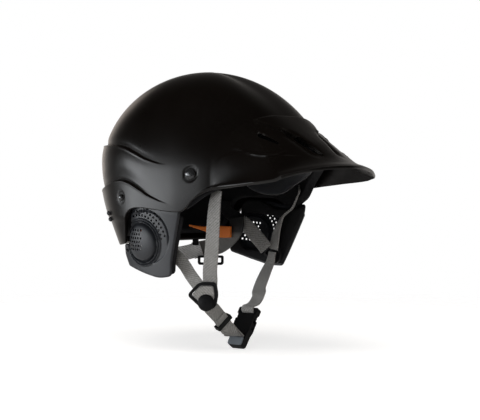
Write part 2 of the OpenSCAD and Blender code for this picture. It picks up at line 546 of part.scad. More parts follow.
module prong() translate([-1.8, 0, 0]) rotate([90, 0, 90]) linear_extrude(3.6) polygon([[6.2, mouth - 0.15],
    [8.6, mouth - 0.15], [9.6, 30], [11.6, 28.6], [11.8, 25], [9.8, 21.8], [7.6, 21.8], [8, 25]]);
module buckle_prong_right() color(black) buckle_frame() prong();
module buckle_prong_left() color(black) buckle_frame() mirror([0, 1, 0]) prong();
// pale pad on the foot of the buckle
module buckle_pad() color("#6f7884") buckle_frame() translate([-buckle_t / 2 - 1.5, 0, 0]) rotate([90, 0, 90])
    linear_extrude(1.4) polygon(rounded([[-9.2, 0.4], [9.2, 0.4], [9.2, 9.6], [-9.2, 9.6]], [2, 2, 1, 1]));

// ---- nape band, its plates, adjusters, loops and tabs ----
module nape_band() color(grey) web([[-57, 70, -47], [-48, 80, -51], [-35, 90, -54], [-18, 97, -56], [0, 99, -56],
    [18, 97, -56], [35, 90, -54], [48, 80, -51], [57, 70, -47]],
    [for (i = [0:8]) [0, 0, 1]], nape_w, 1.8, 2);
module plate_one() web([[-53.2, 79.1, -50], [-59.5, 72, -48], [-63.2, 61.5, -46], [-66.4, 51, -43.5],
    [-68.8, 40, -36], [-70.6, 30, -24.5], [-71.6, 30, -11]],
    [[0, 0, 1], [0, 0.1, 1], [0, 0.2, 1], [0, 0.35, 1], [0, 0.55, 0.85], [0, 0.75, 0.66], [0, 1, 0.15]],
    plate_w, 2, 3);
module nape_plates() color("#b9b9b5") { plate_one(); flip() plate_one(); }
// a lever with a thin tip at the back and a broad grip in front
ADJ = [[-42.5, 76.5, -20], [-52, 66.2, -23.5], [-59.8, 56.4, -26], [-64, 46.6, -27.5], [-66.9, 34.2, -27.5]];
ADJ_H = [2, 4.5, 9, 13.5, 12.5];
module adjuster_one() {
    Q = smooth([for (p = ADJ) spread(p)], 4);
    H = smooth([for (h = ADJ_H) [h]], 4);
    loops([for (i = [0:len(Q) - 1]) let(g = unit(knot(Q, i + 1) - knot(Q, i - 1)), a = [0, 0, 1],
        b = unit(cross(g, a)), h = H[i][0] / 2)
        [Q[i] - a * (h - 0.8) - b * 1.5, Q[i] - a * h - b * 0.6, Q[i] - a * h + b * 0.6,
         Q[i] - a * (h - 0.8) + b * 1.5, Q[i] + a * (h - 0.8) + b * 1.5, Q[i] + a * h + b * 0.6,
         Q[i] + a * h - b * 0.6, Q[i] + a * (h - 0.8) - b * 1.5]]);
}
module nape_adjuster_right() color("#e8782a") adjuster_one();
module nape_adjuster_left() color("#e8782a") flip() adjuster_one();
module loop_one() beside([-59.6, 58.3, -60.5], 122) linear_extrude(2) difference() {
    polygon(rounded([[-15, -5.5], [15, -5.5], [15, 5.5], [-15, 5.5]], [3, 3, 2, 2]));
    polygon(rounded([[-12, -2.6], [12, -2.6], [12, 2.8], [-12, 2.8]], [1, 1, 1, 1]));
}
module nape_loops() color(black) { loop_one(); flip() loop_one(); }
module tab_one() beside([-49.8, 72.6, -39.5], 132) linear_extrude(2.2)
    polygon(rounded([[-3.5, -3.8], [3.5, -3.8], [3.5, 3.8], [-3.5, 3.8]], [1, 1, 1, 1]));
module nape_tabs() color(black) { tab_one(); flip() tab_one(); }

outer_shell();
foam_liner();
brow_pad();
temple_rivets();
nape_rivets();
rear_studs();
ear_cover_right();
ear_cover_left();
ear_foam_right();
ear_foam_left();
ear_rivet_right();
ear_rivet_left();
front_strap_right();
front_strap_left();
rear_strap_right();
rear_strap_left();
divider_right();
divider_left();
divider_knob_right();
chin_strap_right();
chin_strap_left();
strap_slider();
buckle_pad();
buckle_socket();
buckle_plug();
buckle_prong_right();
buckle_prong_left();
nape_band();
nape_plates();
nape_adjuster_right();
nape_adjuster_left();
nape_loops();
nape_tabs();
nape_hangers();
strap_gather_right();
strap_tail_right();
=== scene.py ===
"""Whitewater helmet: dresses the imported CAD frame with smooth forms, webbing, foam and materials."""
import math

import bmesh
import bpy
import numpy as np
from mathutils import Matrix, Vector


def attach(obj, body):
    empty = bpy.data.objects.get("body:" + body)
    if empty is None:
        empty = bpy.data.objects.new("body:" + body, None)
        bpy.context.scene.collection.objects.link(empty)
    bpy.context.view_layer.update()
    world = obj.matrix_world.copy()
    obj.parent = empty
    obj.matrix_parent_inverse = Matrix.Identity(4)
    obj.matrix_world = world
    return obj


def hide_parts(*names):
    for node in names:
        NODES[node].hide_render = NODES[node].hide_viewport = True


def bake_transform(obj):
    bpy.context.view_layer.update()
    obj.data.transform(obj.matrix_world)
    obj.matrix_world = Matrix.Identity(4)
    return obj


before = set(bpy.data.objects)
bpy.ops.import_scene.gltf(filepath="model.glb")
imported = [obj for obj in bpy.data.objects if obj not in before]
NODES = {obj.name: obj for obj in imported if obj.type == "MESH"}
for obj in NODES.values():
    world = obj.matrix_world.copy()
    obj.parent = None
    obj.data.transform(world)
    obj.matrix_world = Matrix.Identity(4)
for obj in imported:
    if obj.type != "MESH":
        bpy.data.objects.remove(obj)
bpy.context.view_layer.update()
MM = 0.001


def add_object(name, data):
    """A new object in the scene."""
    obj = bpy.data.objects.new(name, data)
    bpy.context.scene.collection.objects.link(obj)
    return obj


# -------- camera
FOCAL_PX, PICTURE_PX, SENSOR = 1389, 480, 36
AIM = Vector((0, -0.029, 0))
AZIMUTH, ELEVATION, DISTANCE = math.radians(-53), math.radians(1.5), 1.5


def toward(azimuth, elevation):
    """Unit direction from the object, with azimuth in radians from the front."""
    return Vector((math.sin(azimuth) * math.cos(elevation), -math.cos(azimuth) * math.cos(elevation),
                   math.sin(elevation)))


back = toward(AZIMUTH, ELEVATION)
cam_data = bpy.data.cameras.new("camera")
cam_data.lens = FOCAL_PX / PICTURE_PX * SENSOR
cam_data.sensor_width = SENSOR
cam_data.clip_end = 20
camera = add_object("camera", cam_data)
camera.location = AIM + back * DISTANCE
camera.rotation_euler = back.to_track_quat("Z", "Y").to_euler()
bpy.context.scene.camera = camera


# -------- node helpers
class Nodes:
    """Short ways to add nodes to a tree: a new material's, or the one given."""

    def __init__(self, name=None, tree=None):
        if tree is None:
            self.mat = bpy.data.materials.new(name)
            self.mat.use_nodes = True
            tree = self.mat.node_tree
            self.bsdf = tree.nodes["Principled BSDF"]
        self.tree = tree

    def add(self, kind, **settings):
        node = self.tree.nodes.new(kind)
        for key, value in settings.items():
            if key in node.inputs:
                node.inputs[key].default_value = value
            else:
                setattr(node, key, value)
        return node

    def link(self, a, b):
        self.tree.links.new(a, b)

    def set(self, **values):
        for key, value in values.items():
            self.bsdf.inputs[key.replace("_", " ")].default_value = value

    def feed(self, name, value):
        self.link(value, self.bsdf.inputs[name])

    def math(self, op, a, b=None):
        node = self.add("ShaderNodeMath", operation=op)
        for i, v in enumerate((a, b)):
            if v is None:
                continue
            if isinstance(v, (int, float)):
                node.inputs[i].default_value = v
            else:
                self.link(v, node.inputs[i])
        return node.outputs[0]

    def times(self, a, b):
        return self.math("MULTIPLY", a, b)

    def plus(self, a, b):
        return self.math("ADD", a, b)

    def coords(self, which="Object"):
        return self.add("ShaderNodeTexCoord").outputs[which]

    def split(self, vector):
        """The three parts of a vector."""
        node = self.add("ShaderNodeSeparateXYZ")
        self.link(vector, node.inputs[0])
        return node.outputs

    def noise(self, scale, detail):
        node = self.add("ShaderNodeTexNoise", Scale=scale, Detail=detail, Roughness=0.55)
        self.link(self.coords(), node.inputs["Vector"])
        return node.outputs["Fac"]

    def ramp(self, fac, *stops):
        """Colour from one to the next, each stop a place and a colour."""
        node = self.add("ShaderNodeValToRGB")
        for el, (pos, col) in zip(node.color_ramp.elements, stops):
            el.position = pos
            el.color = (*col, 1)
        self.link(fac, node.inputs["Fac"])
        return node.outputs["Color"]

    def remap(self, fac, lo, hi, start=0.0, end=1.0, kind="LINEAR"):
        """From lo to hi as fac goes from start to end."""
        node = self.add("ShaderNodeMapRange", interpolation_type=kind)
        self.link(fac, node.inputs["Value"])
        for key, value in (("From Min", start), ("From Max", end), ("To Min", lo), ("To Max", hi)):
            node.inputs[key].default_value = value
        return node.outputs["Result"]

    def mix(self, fac, a, b):
        node = self.add("ShaderNodeMix", data_type="RGBA")
        for socket, v in ((node.inputs["Factor"], fac), (node.inputs[6], a), (node.inputs[7], b)):
            if isinstance(v, tuple):
                socket.default_value = (*v, 1)
            else:
                self.link(v, socket)
        return node.outputs[2]

    def mix_shaders(self, fac, a, b):
        node = self.add("ShaderNodeMixShader")
        for socket, v in zip(node.inputs, (fac, a, b)):
            self.link(v, socket)
        return node.outputs[0]

    def bump(self, height, strength, distance, normal=None):
        node = self.add("ShaderNodeBump", Strength=strength, Distance=distance)
        self.link(height, node.inputs["Height"])
        if normal:
            self.link(normal, node.inputs["Normal"])
        return node.outputs["Normal"]


def scaled(color, share, add=0.0):
    """A colour made lighter or darker."""
    return tuple(min(1, c * share + add) for c in color)


# the shader's pointiness where an edge starts to lighten, as wear and as painted highlight, and where it is
# fully lightened, and the same for a dull groove
WORN_AND_LIT_EDGE, DULL_GROOVE = (0.53, 0.62), (0.49, 0.41)


def moulded(name, color, rough, grain=900.0, grain_depth=0.00004, spec=0.4, coat=0.0, wear_and_highlight=0.25,
            patch=0.15, edge=None):
    """Moulded plastic: fine grain, slow gloss variation, and edges lightened in broken patches, as wear and
    as painted highlight.
    """
    n = Nodes(name)
    slow = n.noise(14.0, 3.0)
    fine = n.noise(grain, 3.0)
    base = n.ramp(slow, (0.3, scaled(color, 1 - patch)), (0.7, scaled(color, 1 + patch)))
    point = n.add("ShaderNodeNewGeometry").outputs["Pointiness"]
    edge_breakup = n.remap(n.noise(60.0, 4.0), 0, 1, 0.35, 0.7)
    worn_and_lit = n.times(n.remap(point, 0, 1, *WORN_AND_LIT_EDGE), edge_breakup)
    # edges are lightened in broken patches: wear, and a painted highlight along lips and creases
    base = n.mix(n.times(worn_and_lit, wear_and_highlight), base, edge or scaled(color, 2.2, 0.02))
    n.feed("Base Color", base)
    # grooves and the feet of steps hold dust and lose their gloss
    gloss = n.remap(n.plus(slow, n.times(fine, 0.4)), rough - 0.06, rough + 0.1, 0.35, 1.0)
    n.feed("Roughness", n.plus(gloss, n.remap(point, 0.0, 0.5, *DULL_GROOVE)))
    first = n.bump(fine, 0.35, grain_depth)
    n.feed("Normal", n.bump(slow, 0.15, 0.0004, first))
    n.set(Specular_IOR_Level=spec, Coat_Weight=coat, Coat_Roughness=0.18)
    return n.mat


# the webbing's weave in millimetres: the width of a warp end, the length of a rib, and the diagonal twill
WARP_END, RIB, TWILL = 1.6, 1.3, 3.2


def webbing_mat(name, color):
    """Flat nylon webbing: ribs across, a zigzag of warp ends along, soiled patches."""
    n = Nodes(name)
    across, along, _ = n.split(n.coords("UV"))
    # neighbouring warp ends are half a rib apart
    ends = n.math("SINE", n.times(across, 2 * math.pi / WARP_END))
    stagger = n.times(n.math("SIGN", ends), 0.25)
    rib = n.math("SINE", n.times(n.plus(n.math("DIVIDE", along, RIB), stagger), 2 * math.pi))
    height = n.plus(n.times(rib, 0.5), n.times(n.math("ABSOLUTE", ends), 0.6))
    fuzz = n.noise(2500.0, 3.0)
    slow = n.noise(45.0, 4.0)
    twill = n.math("SINE", n.times(n.plus(across, along), 2 * math.pi / TWILL))
    speck = n.math("SUBTRACT", n.noise(650.0, 2.0), 0.5)
    fibre = n.plus(n.plus(fuzz, n.times(twill, 0.25)), n.times(speck, 1.6))
    # painted highlight on the ribs and painted shade in the hollows between them, mixed with random fibre
    # tone
    shade = n.remap(n.plus(n.times(height, 0.5), fibre), 0, 1, -0.1, 1.3)
    base = n.mix(shade, scaled(color, 0.3), scaled(color, 1.7))
    soiled = n.mix(n.remap(slow, 0, 0.35, 0.45, 0.75), base, scaled(color, 0.78))
    n.feed("Base Color", soiled)
    n.feed("Roughness", n.remap(fuzz, 0.72, 0.9))
    n.feed("Normal", n.bump(n.plus(height, n.times(fuzz, 0.5)), 0.6, 0.00018))
    n.set(Specular_IOR_Level=0.3, Sheen_Weight=0.25, Sheen_Roughness=0.4)
    return n.mat


def foam_mat(name, color, cells=700.0):
    """Closed-cell foam: small cells, soft dents and scuffs."""
    n = Nodes(name)
    cell = n.add("ShaderNodeTexVoronoi", Scale=cells)
    n.link(n.coords(), cell.inputs["Vector"])
    slow = n.noise(30.0, 4.0)
    shade = n.plus(n.times(cell.outputs["Distance"], 0.5), n.times(slow, 0.6))
    base = n.ramp(shade, (0.2, scaled(color, 0.7)), (0.8, scaled(color, 1.35)))
    n.feed("Base Color", base)
    n.feed("Roughness", n.remap(slow, 0.82, 0.95, 0.3, 0.7))
    fine = n.bump(cell.outputs["Distance"], 0.5, 0.0002)
    n.feed("Normal", n.bump(slow, 0.3, 0.0008, fine))
    n.set(Specular_IOR_Level=0.25)
    return n.mat


# turn of the knit's wave, in radians to a metre
KNIT = 2600.0


def knit_mat(name, color):
    """Knitted lining cloth over foam."""
    n = Nodes(name)
    _, y, z = n.split(n.coords())
    w1, w2 = (n.math("SINE", n.times(n.math(way, z, y), KNIT)) for way in ("ADD", "SUBTRACT"))
    knit = n.times(w1, w2)
    fuzz = n.noise(1800.0, 3.0)
    slow = n.noise(35.0, 4.0)
    mixed = n.plus(n.times(knit, 0.25), n.times(fuzz, 0.7))
    base = n.ramp(n.plus(mixed, n.times(slow, 0.3)),
                  (0.1, scaled(color, 0.6)), (0.9, scaled(color, 1.35)))
    n.feed("Base Color", base)
    n.feed("Roughness", n.remap(fuzz, 0.8, 0.95))
    n.feed("Normal", n.bump(mixed, 0.5, 0.0003))
    n.set(Specular_IOR_Level=0.2, Sheen_Weight=0.4, Sheen_Roughness=0.5)
    return n.mat


def paint_shade_along(mat, axis, lo, hi, color):
    """Paints shade on the piece: it turns to a darker colour between two places, in metres, on one of its
    axes.
    """
    n = Nodes(tree=mat.node_tree)
    socket = n.tree.nodes["Principled BSDF"].inputs["Base Color"]
    share = n.remap(n.split(n.coords())[axis], 0, 1, lo, hi)
    n.link(n.mix(share, socket.links[0].from_socket, color), socket)


# the shell's edges are lightened strongly as a painted highlight along its lips, creases and vents
SHELL = moulded("shell_gloss", (0.0040, 0.0031, 0.0026), 0.3, grain=650, grain_depth=0.00002, spec=0.26,
                coat=0.1, wear_and_highlight=0.8, edge=(0.045, 0.044, 0.043))
EARS = moulded("ear_plastic", (0.012, 0.0135, 0.017), 0.42, grain=1100, grain_depth=0.00005, spec=0.55,
               wear_and_highlight=0.5)
BLACK = moulded("black_plastic", (0.005, 0.005, 0.0055), 0.42, spec=0.14, wear_and_highlight=0.08)
RIVET = moulded("rivet", (0.065, 0.067, 0.07), 0.18, grain=400, grain_depth=0.00002, spec=0.7, coat=0.5,
                wear_and_highlight=0.4)
RIVET.node_tree.nodes["Principled BSDF"].inputs["Metallic"].default_value = 0.75
STUD = moulded("stud", (0.02, 0.02, 0.022), 0.4, wear_and_highlight=0.3)
PALE = moulded("pale_plastic", (0.42, 0.43, 0.42), 0.45, wear_and_highlight=0.1, patch=0.06)
# painted shade: the nape plates turn darker toward their far end
paint_shade_along(PALE, 0, -0.01, 0.045, (0.13, 0.128, 0.12))
# painted shade: the nape plates' upper part, up under the shell, turns near black
paint_shade_along(PALE, 2, -0.031, -0.027, (0.02, 0.02, 0.02))
ORANGE = moulded("orange_plastic", (0.9, 0.22, 0.035), 0.5, wear_and_highlight=0.1, patch=0.1)
FACE = moulded("buckle_face", (0.12, 0.135, 0.15), 0.5, wear_and_highlight=0.2, patch=0.06)
WEB = webbing_mat("webbing", (0.25, 0.244, 0.234))
# a lighter copy of the webbing for the nape band: painted light against the shade it lies in
WEB_PAINTED_LIT = webbing_mat("webbing_painted_lit", (0.6, 0.605, 0.61))
WEB_BLACK = webbing_mat("webbing_black", (0.012, 0.012, 0.013))
FOAM = foam_mat("liner_foam", (0.008, 0.008, 0.009))
EAR_FOAM = foam_mat("ear_foam", (0.012, 0.012, 0.013), cells=900)
BROW_CLOTH = knit_mat("brow_cloth", (0.024, 0.027, 0.033))


# -------- mesh helpers
def mesh_of(name, verts, faces):
    """A mesh from points in millimetres."""
    mesh = bpy.data.meshes.new(name)
    mesh.from_pydata([tuple(float(c) * MM for c in v) for v in verts], [], faces)
    return mesh


def fix_normals(mesh):
    """Turns every face outward."""
    bm = bmesh.new()
    bm.from_mesh(mesh)
    bmesh.ops.recalc_face_normals(bm, faces=bm.faces)
    bm.to_mesh(mesh)
    bm.free()


def baked(obj):
    """A new mesh of the object as its modifiers leave it."""
    bpy.context.view_layer.update()
    return bpy.data.meshes.new_from_object(obj.evaluated_get(bpy.context.evaluated_depsgraph_get()))


def finish_mesh(name, verts, faces, material, body, node, uvs=None):
    """A smooth piece from points in millimetres, riding on a body and standing for a CAD node."""
    mesh = mesh_of(name, verts, faces)
    if uvs is not None:
        layer = mesh.uv_layers.new(name="UVMap")
        for loop in mesh.loops:
            layer.data[loop.index].uv = uvs[loop.vertex_index]
    mesh.materials.append(material)
    mesh.validate()
    mesh.polygons.foreach_set("use_smooth", [True] * len(mesh.polygons))
    obj = add_object(name, mesh)
    fix_normals(mesh)
    if body:
        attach(obj, body)
    if node:
        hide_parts(node)
    return obj


def stitch(rows, capped=False):
    """Points and faces of a tube of equal rings, open or capped at both ends."""
    count = len(rows[0])
    verts = [p for row in rows for p in row]
    faces = []
    for j in range(len(rows) - 1):
        for i in range(count):
            k = (i + 1) % count
            faces.append((j * count + i, j * count + k, (j + 1) * count + k, (j + 1) * count + i))
    if capped:
        base = (len(rows) - 1) * count
        faces += [tuple(range(count)), tuple(base + i for i in reversed(range(count)))]
    return verts, faces


def spline(points, n):
    """Smooth path through stations, n steps to a span."""
    pts = np.asarray(points, float)
    out = []
    for i in range(len(pts) - 1):
        a, b = pts[max(i - 1, 0)], pts[i]
        c, d = pts[i + 1], pts[min(i + 2, len(pts) - 1)]
        for j in range(n):
            t = j / n
            out.append(0.5 * (2 * b + (c - a) * t + (2 * a - 5 * b + 4 * c - d) * t * t
                              + (3 * b - a - 3 * c + d) * t ** 3))
    out.append(pts[-1])
    return np.array(out)


def unit(v):
    """The direction of a vector."""
    v = np.asarray(v, float)
    return v / max(np.linalg.norm(v), 1e-9)


# -------- the shell's form, as the CAD has it
DOME_A, DOME_FRONT, DOME_REAR, CENTRE_BACK = 104.4, 138.8, 118.2, 15.0
CROWN_Z, WIDE_Z, SHELL_T = 149.8, 42.6, 3.0
VISOR_REACH, VISOR_HALF, VISOR_ARCH, VISOR_Z, VISOR_DROP = 172.5, 88.0, 27.0, 47.5, 10.5
PANEL_H, SCOOP_DEPTH, REAR_STEP, NAPE_STEP = 3.0, 5.0, 2.0, 2.2
RIDGE_H, STEP_GROOVE, BAND_HOLLOW = 1.4, 1.0, 1.2
SECTION_M, CORNER_ANG, TEMPLE_ANG = 2.17, 36.2, 58.1
# powers of the dome's outline from the widest level up, at the front, rear and side
FRONT_POWER, REAR_POWER, SIDE_POWER = 1.52, 1.9, 2.2
# how far down the dome would close at the front and rear, and how much further at the sides
CLOSE_DOWN, CLOSE_SIDE = 120, 140
# how far back the crown is drawn, and how much the way out rises toward it
CROWN_BACK, OUT_RISE = -4.5, 0.6
# powers of the visor's droop and of its arch, seen from above
DROOP_POWER, ARCH_POWER = 2.4, 1.6
# the foam's outer and inner face, as depths under the dome
FOAM_OUT, FOAM_IN = 4.2, 15.2
# tables of an angle from the front, in degrees, and a height: the rim, the lower and the upper moulded step
RIM = [[36.2, 37], [38.5, 33.8], [47, 29.5], [58.1, 23], [62.9, 18.5], [66.9, 12], [70.2, 4], [73, 0.6],
       [80.4, 1.2], [94, 4.6], [100, 3.6], [104.4, -1.5], [106.6, -9.4], [108.2, -22], [109.6, -31],
       [112, -34.5], [125, -36.5], [180, -38]]
LOW = [[0, 57], [32, 58], [45, 61], [54, 55], [63, 30], [70, 13], [75, 7], [80.5, 9.5], [87, 15],
       [93.5, 22.2], [101, 29.4], [108, 32.5], [116, 31], [127, 26], [142, 21.5], [180, 20]]
STEP = [[0, 99], [22, 98], [40, 90], [58, 66], [70, 52], [80, 49], [90, 54.5], [98, 61], [106, 66.5],
        [115, 69], [180, 71]]
# how far the visor is drawn out, as shares of the way down from the upper step to the rim and of the reach
PULL = [[0, 0], [0.2, 0.08], [0.36, 0.17], [0.55, 0.32], [0.7, 0.45], [0.85, 0.62], [0.94, 0.8], [1, 1]]
# lower edge of the liner and of the brow pad, by angle and height
LINER = [[0, 46], [30, 44], [42, 36], [50, 26], [58.1, 18.5], [62.9, 12.4], [66.9, 6], [70.2, 1.2], [74, 5.4],
         [80, 9.5], [94, 10.5], [100, 10], [107, 4], [111, -16], [115, -27], [125, -32], [180, -34]]
BROW = [[0, 45], [30, 43], [42, 38], [52, 31], [60, 25], [70, 14.5], [78, 12], [86, 14], [93, 19], [97, 24]]
# each rivet's angle and height on the shell and the radius of the dish round it
DISHES = [(67.4, 39, 7.6), (107.5, 14.6, 5.6)]
DISH_DEPTH, RIM_BEAD = 0.9, 0.9
# raised lips on the front: line as angle and height, the angles it runs between, and how tall
LIPS = [([[24, 63], [26.5, 61], [33.5, 57.5], [40.5, 58], [45, 63], [50, 68]], 26, 48, 1.5),
        ([[26, 72.5], [36, 83.2]], 28, 36, 1.4), ([[11, 77.5], [21, 84.5]], 12.5, 20, 1.2)]


def ss(a, b, v):
    """Smooth step from 0 where v is a to 1 where it is b, falling where a is the larger."""
    t = np.clip((v - a) / (b - a), 0, 1)
    return t * t * (3 - 2 * t)


def hump(gap, width):
    """1 where the gap is nothing, falling off over about a width."""
    return np.exp(-(gap / width) ** 2)


def curve(table, v):
    """Smooth curve through a table of pairs, read at v."""
    t = np.array(table, float)
    xs, ys = t[:, 0], t[:, 1]
    m = np.empty(len(xs))
    m[1:-1] = (ys[2:] - ys[:-2]) / (xs[2:] - xs[:-2])
    m[0] = (ys[1] - ys[0]) / (xs[1] - xs[0])
    m[-1] = (ys[-1] - ys[-2]) / (xs[-1] - xs[-2])
    i = np.clip(np.searchsorted(xs, v, side="right") - 1, 0, len(xs) - 2)
    w = xs[i + 1] - xs[i]
    t = np.clip((v - xs[i]) / w, 0, 1)
    return ((2 * t ** 3 - 3 * t ** 2 + 1) * ys[i] + (t ** 3 - 2 * t ** 2 + t) * w * m[i]
            + (3 * t ** 2 - 2 * t ** 3) * ys[i + 1] + (t ** 3 - t ** 2) * w * m[i + 1])


def dome(a, z):
    """Points of the plain dome at angle a from the front, in degrees, and height z."""
    a, z = np.broadcast_arrays(np.asarray(a, float), np.asarray(z, float))
    c, s = np.cos(np.radians(a)), np.abs(np.sin(np.radians(a)))
    n = np.where(c > 0, FRONT_POWER, REAR_POWER) * (c * c) + SIDE_POWER * s * s
    up = np.clip((z - WIDE_Z) / (CROWN_Z - WIDE_Z), 0, 1)
    dn = np.maximum(0, WIDE_Z - z) / (CLOSE_DOWN + CLOSE_SIDE * s ** 6)
    above = np.maximum(0, 1 - up ** n) ** (1 / n)
    below = np.sqrt(np.maximum(0, 1 - dn * dn))
    k = np.where(z > WIDE_Z, above, below)
    r = (np.abs(c) ** SECTION_M + s ** SECTION_M) ** (-1 / SECTION_M)
    x = -DOME_A * k * np.sin(np.radians(a)) * r
    y = CENTRE_BACK + CROWN_BACK * up * up - np.where(c > 0, DOME_FRONT, DOME_REAR) * k * c * r
    return np.stack([x, y, z], -1)


def mirror_angle(a):
    """The angle from the front, whichever the side."""
    a = np.asarray(a, float)
    return np.abs(np.where(a > 180, 360 - a, a))


def rim_z(a):
    """Height of the shell's rim."""
    b = mirror_angle(a)
    return np.where(b <= CORNER_ANG, VISOR_Z - VISOR_DROP * (b / CORNER_ANG) ** DROOP_POWER, curve(RIM, b))


def visor(b, z):
    """How far the dome is pulled out toward the visor's edge."""
    temple = dome(TEMPLE_ANG, rim_z(TEMPLE_ANG))
    t = np.clip((b - CORNER_ANG) / (TEMPLE_ANG - CORNER_ANG), 0, 1)
    front = b <= CORNER_ANG
    ex = np.where(front, -VISOR_HALF * b / CORNER_ANG, -VISOR_HALF * (1 - t) + temple[0] * t)
    arch = VISOR_ARCH * (np.minimum(b, CORNER_ANG) / CORNER_ANG) ** ARCH_POWER
    ey = np.where(front, arch - VISOR_REACH, -(VISOR_REACH - VISOR_ARCH) * (1 - t) + temple[1] * t)
    zr, st = rim_z(b), curve(STEP, b)
    base = dome(b, zr)
    t = np.clip((st + 1 - z) / (st + 1 - zr), 0, 1)
    pull = curve(PULL, t) * (b < TEMPLE_ANG)
    return np.stack([(ex - base[..., 0]) * pull, (ey - base[..., 1]) * pull, np.zeros_like(pull)], -1)


def relief(b, x, z):
    """How far the skin stands out from the plain dome."""
    st, lo, ax = curve(STEP, b), curve(LOW, b), np.abs(x)
    half = 20 + 30 * ss(74, 94, z)
    panel = (b <= 60) * PANEL_H * ss(st + 1, st - 1, z) * (1 - ss(half - 3, half + 3, ax)) * ss(50, 72, z)
    sx = 27 - 6 * ss(85, 57, z)
    scoop = (b <= 60) * SCOOP_DEPTH * hump(ax - sx, 6) * ss(84, 76, z) * ss(54, 62, z)
    ridge = ((b <= 75) * RIDGE_H * ss(lo + 1, lo - 1, z) * ss(18, 30, b) * (1 - ss(50, 56, b))
             * ss(lo - 26, lo - 4, z))
    band = (b >= 78) * ss(78, 106, b) * (
        REAR_STEP * ss(st + 1, st - 1, z) * ss(st - 36, st - 4, z)
        - STEP_GROOVE * ss(st + 9, st + 1.2, z) * ss(st - 1, st + 1, z)
        - BAND_HOLLOW * (1 - ss(lo, lo + 18, z)) * ss(lo - 1, lo + 1, z))
    nape = (b >= 76) * NAPE_STEP * ss(76, 100, b) * ss(lo + 1, lo - 1, z) * (0.35 + 0.65 * ss(-14, -6, z))
    return panel - scoop + ridge + band + nape


def pressed(b, z, d):
    """Creases with a raised lip along the moulded steps, a bead, lips, and dishes round the rivets."""
    rear = ss(82, 100, b)
    out = 0.0
    for table, depth, off in ((STEP, 0.7, 1.3), (LOW, 0.6, 1.2)):
        gap = z - curve(table, b)
        out = out - depth * rear * hump(gap - off, 0.8) + 0.35 * rear * hump(gap + off, 0.9)
    # bead along the rim of the visor and temple
    out = out + RIM_BEAD * hump(z - rim_z(b) - 1.8, 1.1) * ss(66, 56, b)
    for table, start, end, tall in LIPS:
        out = out + (tall * hump(z - curve(table, b), 1.1) * ss(start - 1.5, start + 1.5, b)
                     * ss(end + 1.5, end - 1.5, b))
    for angle, height, radius in DISHES:
        gap = np.linalg.norm(d - dome(angle, height), axis=-1)
        out = out - DISH_DEPTH * ss(radius + 0.8, radius - 0.8, gap) * ss(radius - 2.8, radius - 1.6, gap)
    return out


def outdir(p):
    """The way out from the dome at a point."""
    v = np.stack([p[..., 0] / DOME_A ** 2, (p[..., 1] - CENTRE_BACK) / DOME_FRONT ** 2,
                  OUT_RISE * (p[..., 2] - WIDE_Z) / (CROWN_Z - WIDE_Z) ** 2], -1)
    return v / np.linalg.norm(v, axis=-1, keepdims=True)


def on_side(a, p):
    """The points, mirrored where the angle is on the left side."""
    side = np.where((a > 180) | (a < 0), -1.0, 1.0)
    return p * np.stack([side, np.ones_like(side), np.ones_like(side)], -1)


def skin(a, z, fine=True):
    """The shell's outer skin, or without its relief."""
    a, z = np.broadcast_arrays(np.asarray(a, float), np.asarray(z, float))
    b = mirror_angle(a)
    d, v = dome(b, z), visor(b, z)
    p = d + v
    if fine:
        p = p + outdir(d) * (relief(b, p[..., 0], z) + pressed(b, z, d))[..., None]
    return on_side(a, p)


def inward(a, z, t):
    """The plain skin moved in by t, square to its own slope."""
    u, v, w = skin(a - 1, z, False), skin(a + 1, z, False), skin(a, z, False)
    q = skin(a, np.minimum(z + 1.5, CROWN_Z - 0.5), False)
    n = np.cross(v - u, q - w)
    n = n / np.linalg.norm(n, axis=-1, keepdims=True)
    dot = n[..., 0] * w[..., 0] + n[..., 1] * (w[..., 1] - CENTRE_BACK) + n[..., 2] * w[..., 2]
    return w + n * np.where(dot > 0, -t, t)[..., None]


def under(a, z, t):
    """A point t inside the plain dome."""
    d = dome(mirror_angle(a), z)
    return on_side(np.asarray(a), d - outdir(d) * np.asarray(t, float)[..., None])


# the last row's angle up from the widest level, just short of the crown
NEAR_CROWN = 89.2


def rise(za, t):
    """Height at the fraction t of the way from za to the crown, bunched toward the crown."""
    up, down = CROWN_Z - WIDE_Z, 130
    gap = np.asarray(za, float) - WIDE_Z
    start = np.degrees(np.arcsin(np.clip(gap / np.where(gap >= 0, up, down), -1, 1)))
    b = start + (NEAR_CROWN - start) * t
    return WIDE_Z + np.where(b >= 0, up, down) * np.sin(np.radians(b))


def closed_shell(outer, inner, lip, top_out, top_in):
    """Outer, lip and inner rows joined into one closed skin with a point at each top."""
    rows = outer[::-1] + lip + inner
    verts, faces = stitch(rows)
    count = len(rows[0])
    first, last = len(verts), len(verts) + 1
    verts += [top_out, top_in]
    end = (len(rows) - 1) * count
    for i in range(count):
        k = (i + 1) % count
        faces.append((first, k, i))
        faces.append((last, end + i, end + k))
    return verts, faces


# angles of the shell's columns on one side, close together where the rim turns
STATIONS = ([CORNER_ANG * i / 12 for i in range(13)]
            + [CORNER_ANG + (TEMPLE_ANG - CORNER_ANG) * i / 5 for i in range(1, 6)]
            + [61, 64, 67, 70, 73, 77, 82, 87, 92, 96, 99.5, 101.8, 103.6, 105, 106.3, 107.6, 110]
            + [110 + 70 * i / 14 for i in range(1, 15)])
FINE = 4
half_turn = [STATIONS[i] + (STATIONS[i + 1] - STATIONS[i]) * j / FINE
             for i in range(len(STATIONS) - 1) for j in range(FINE)] + [180.0]
TURN = np.array(half_turn + [360 - v for v in reversed(half_turn[1:-1])])


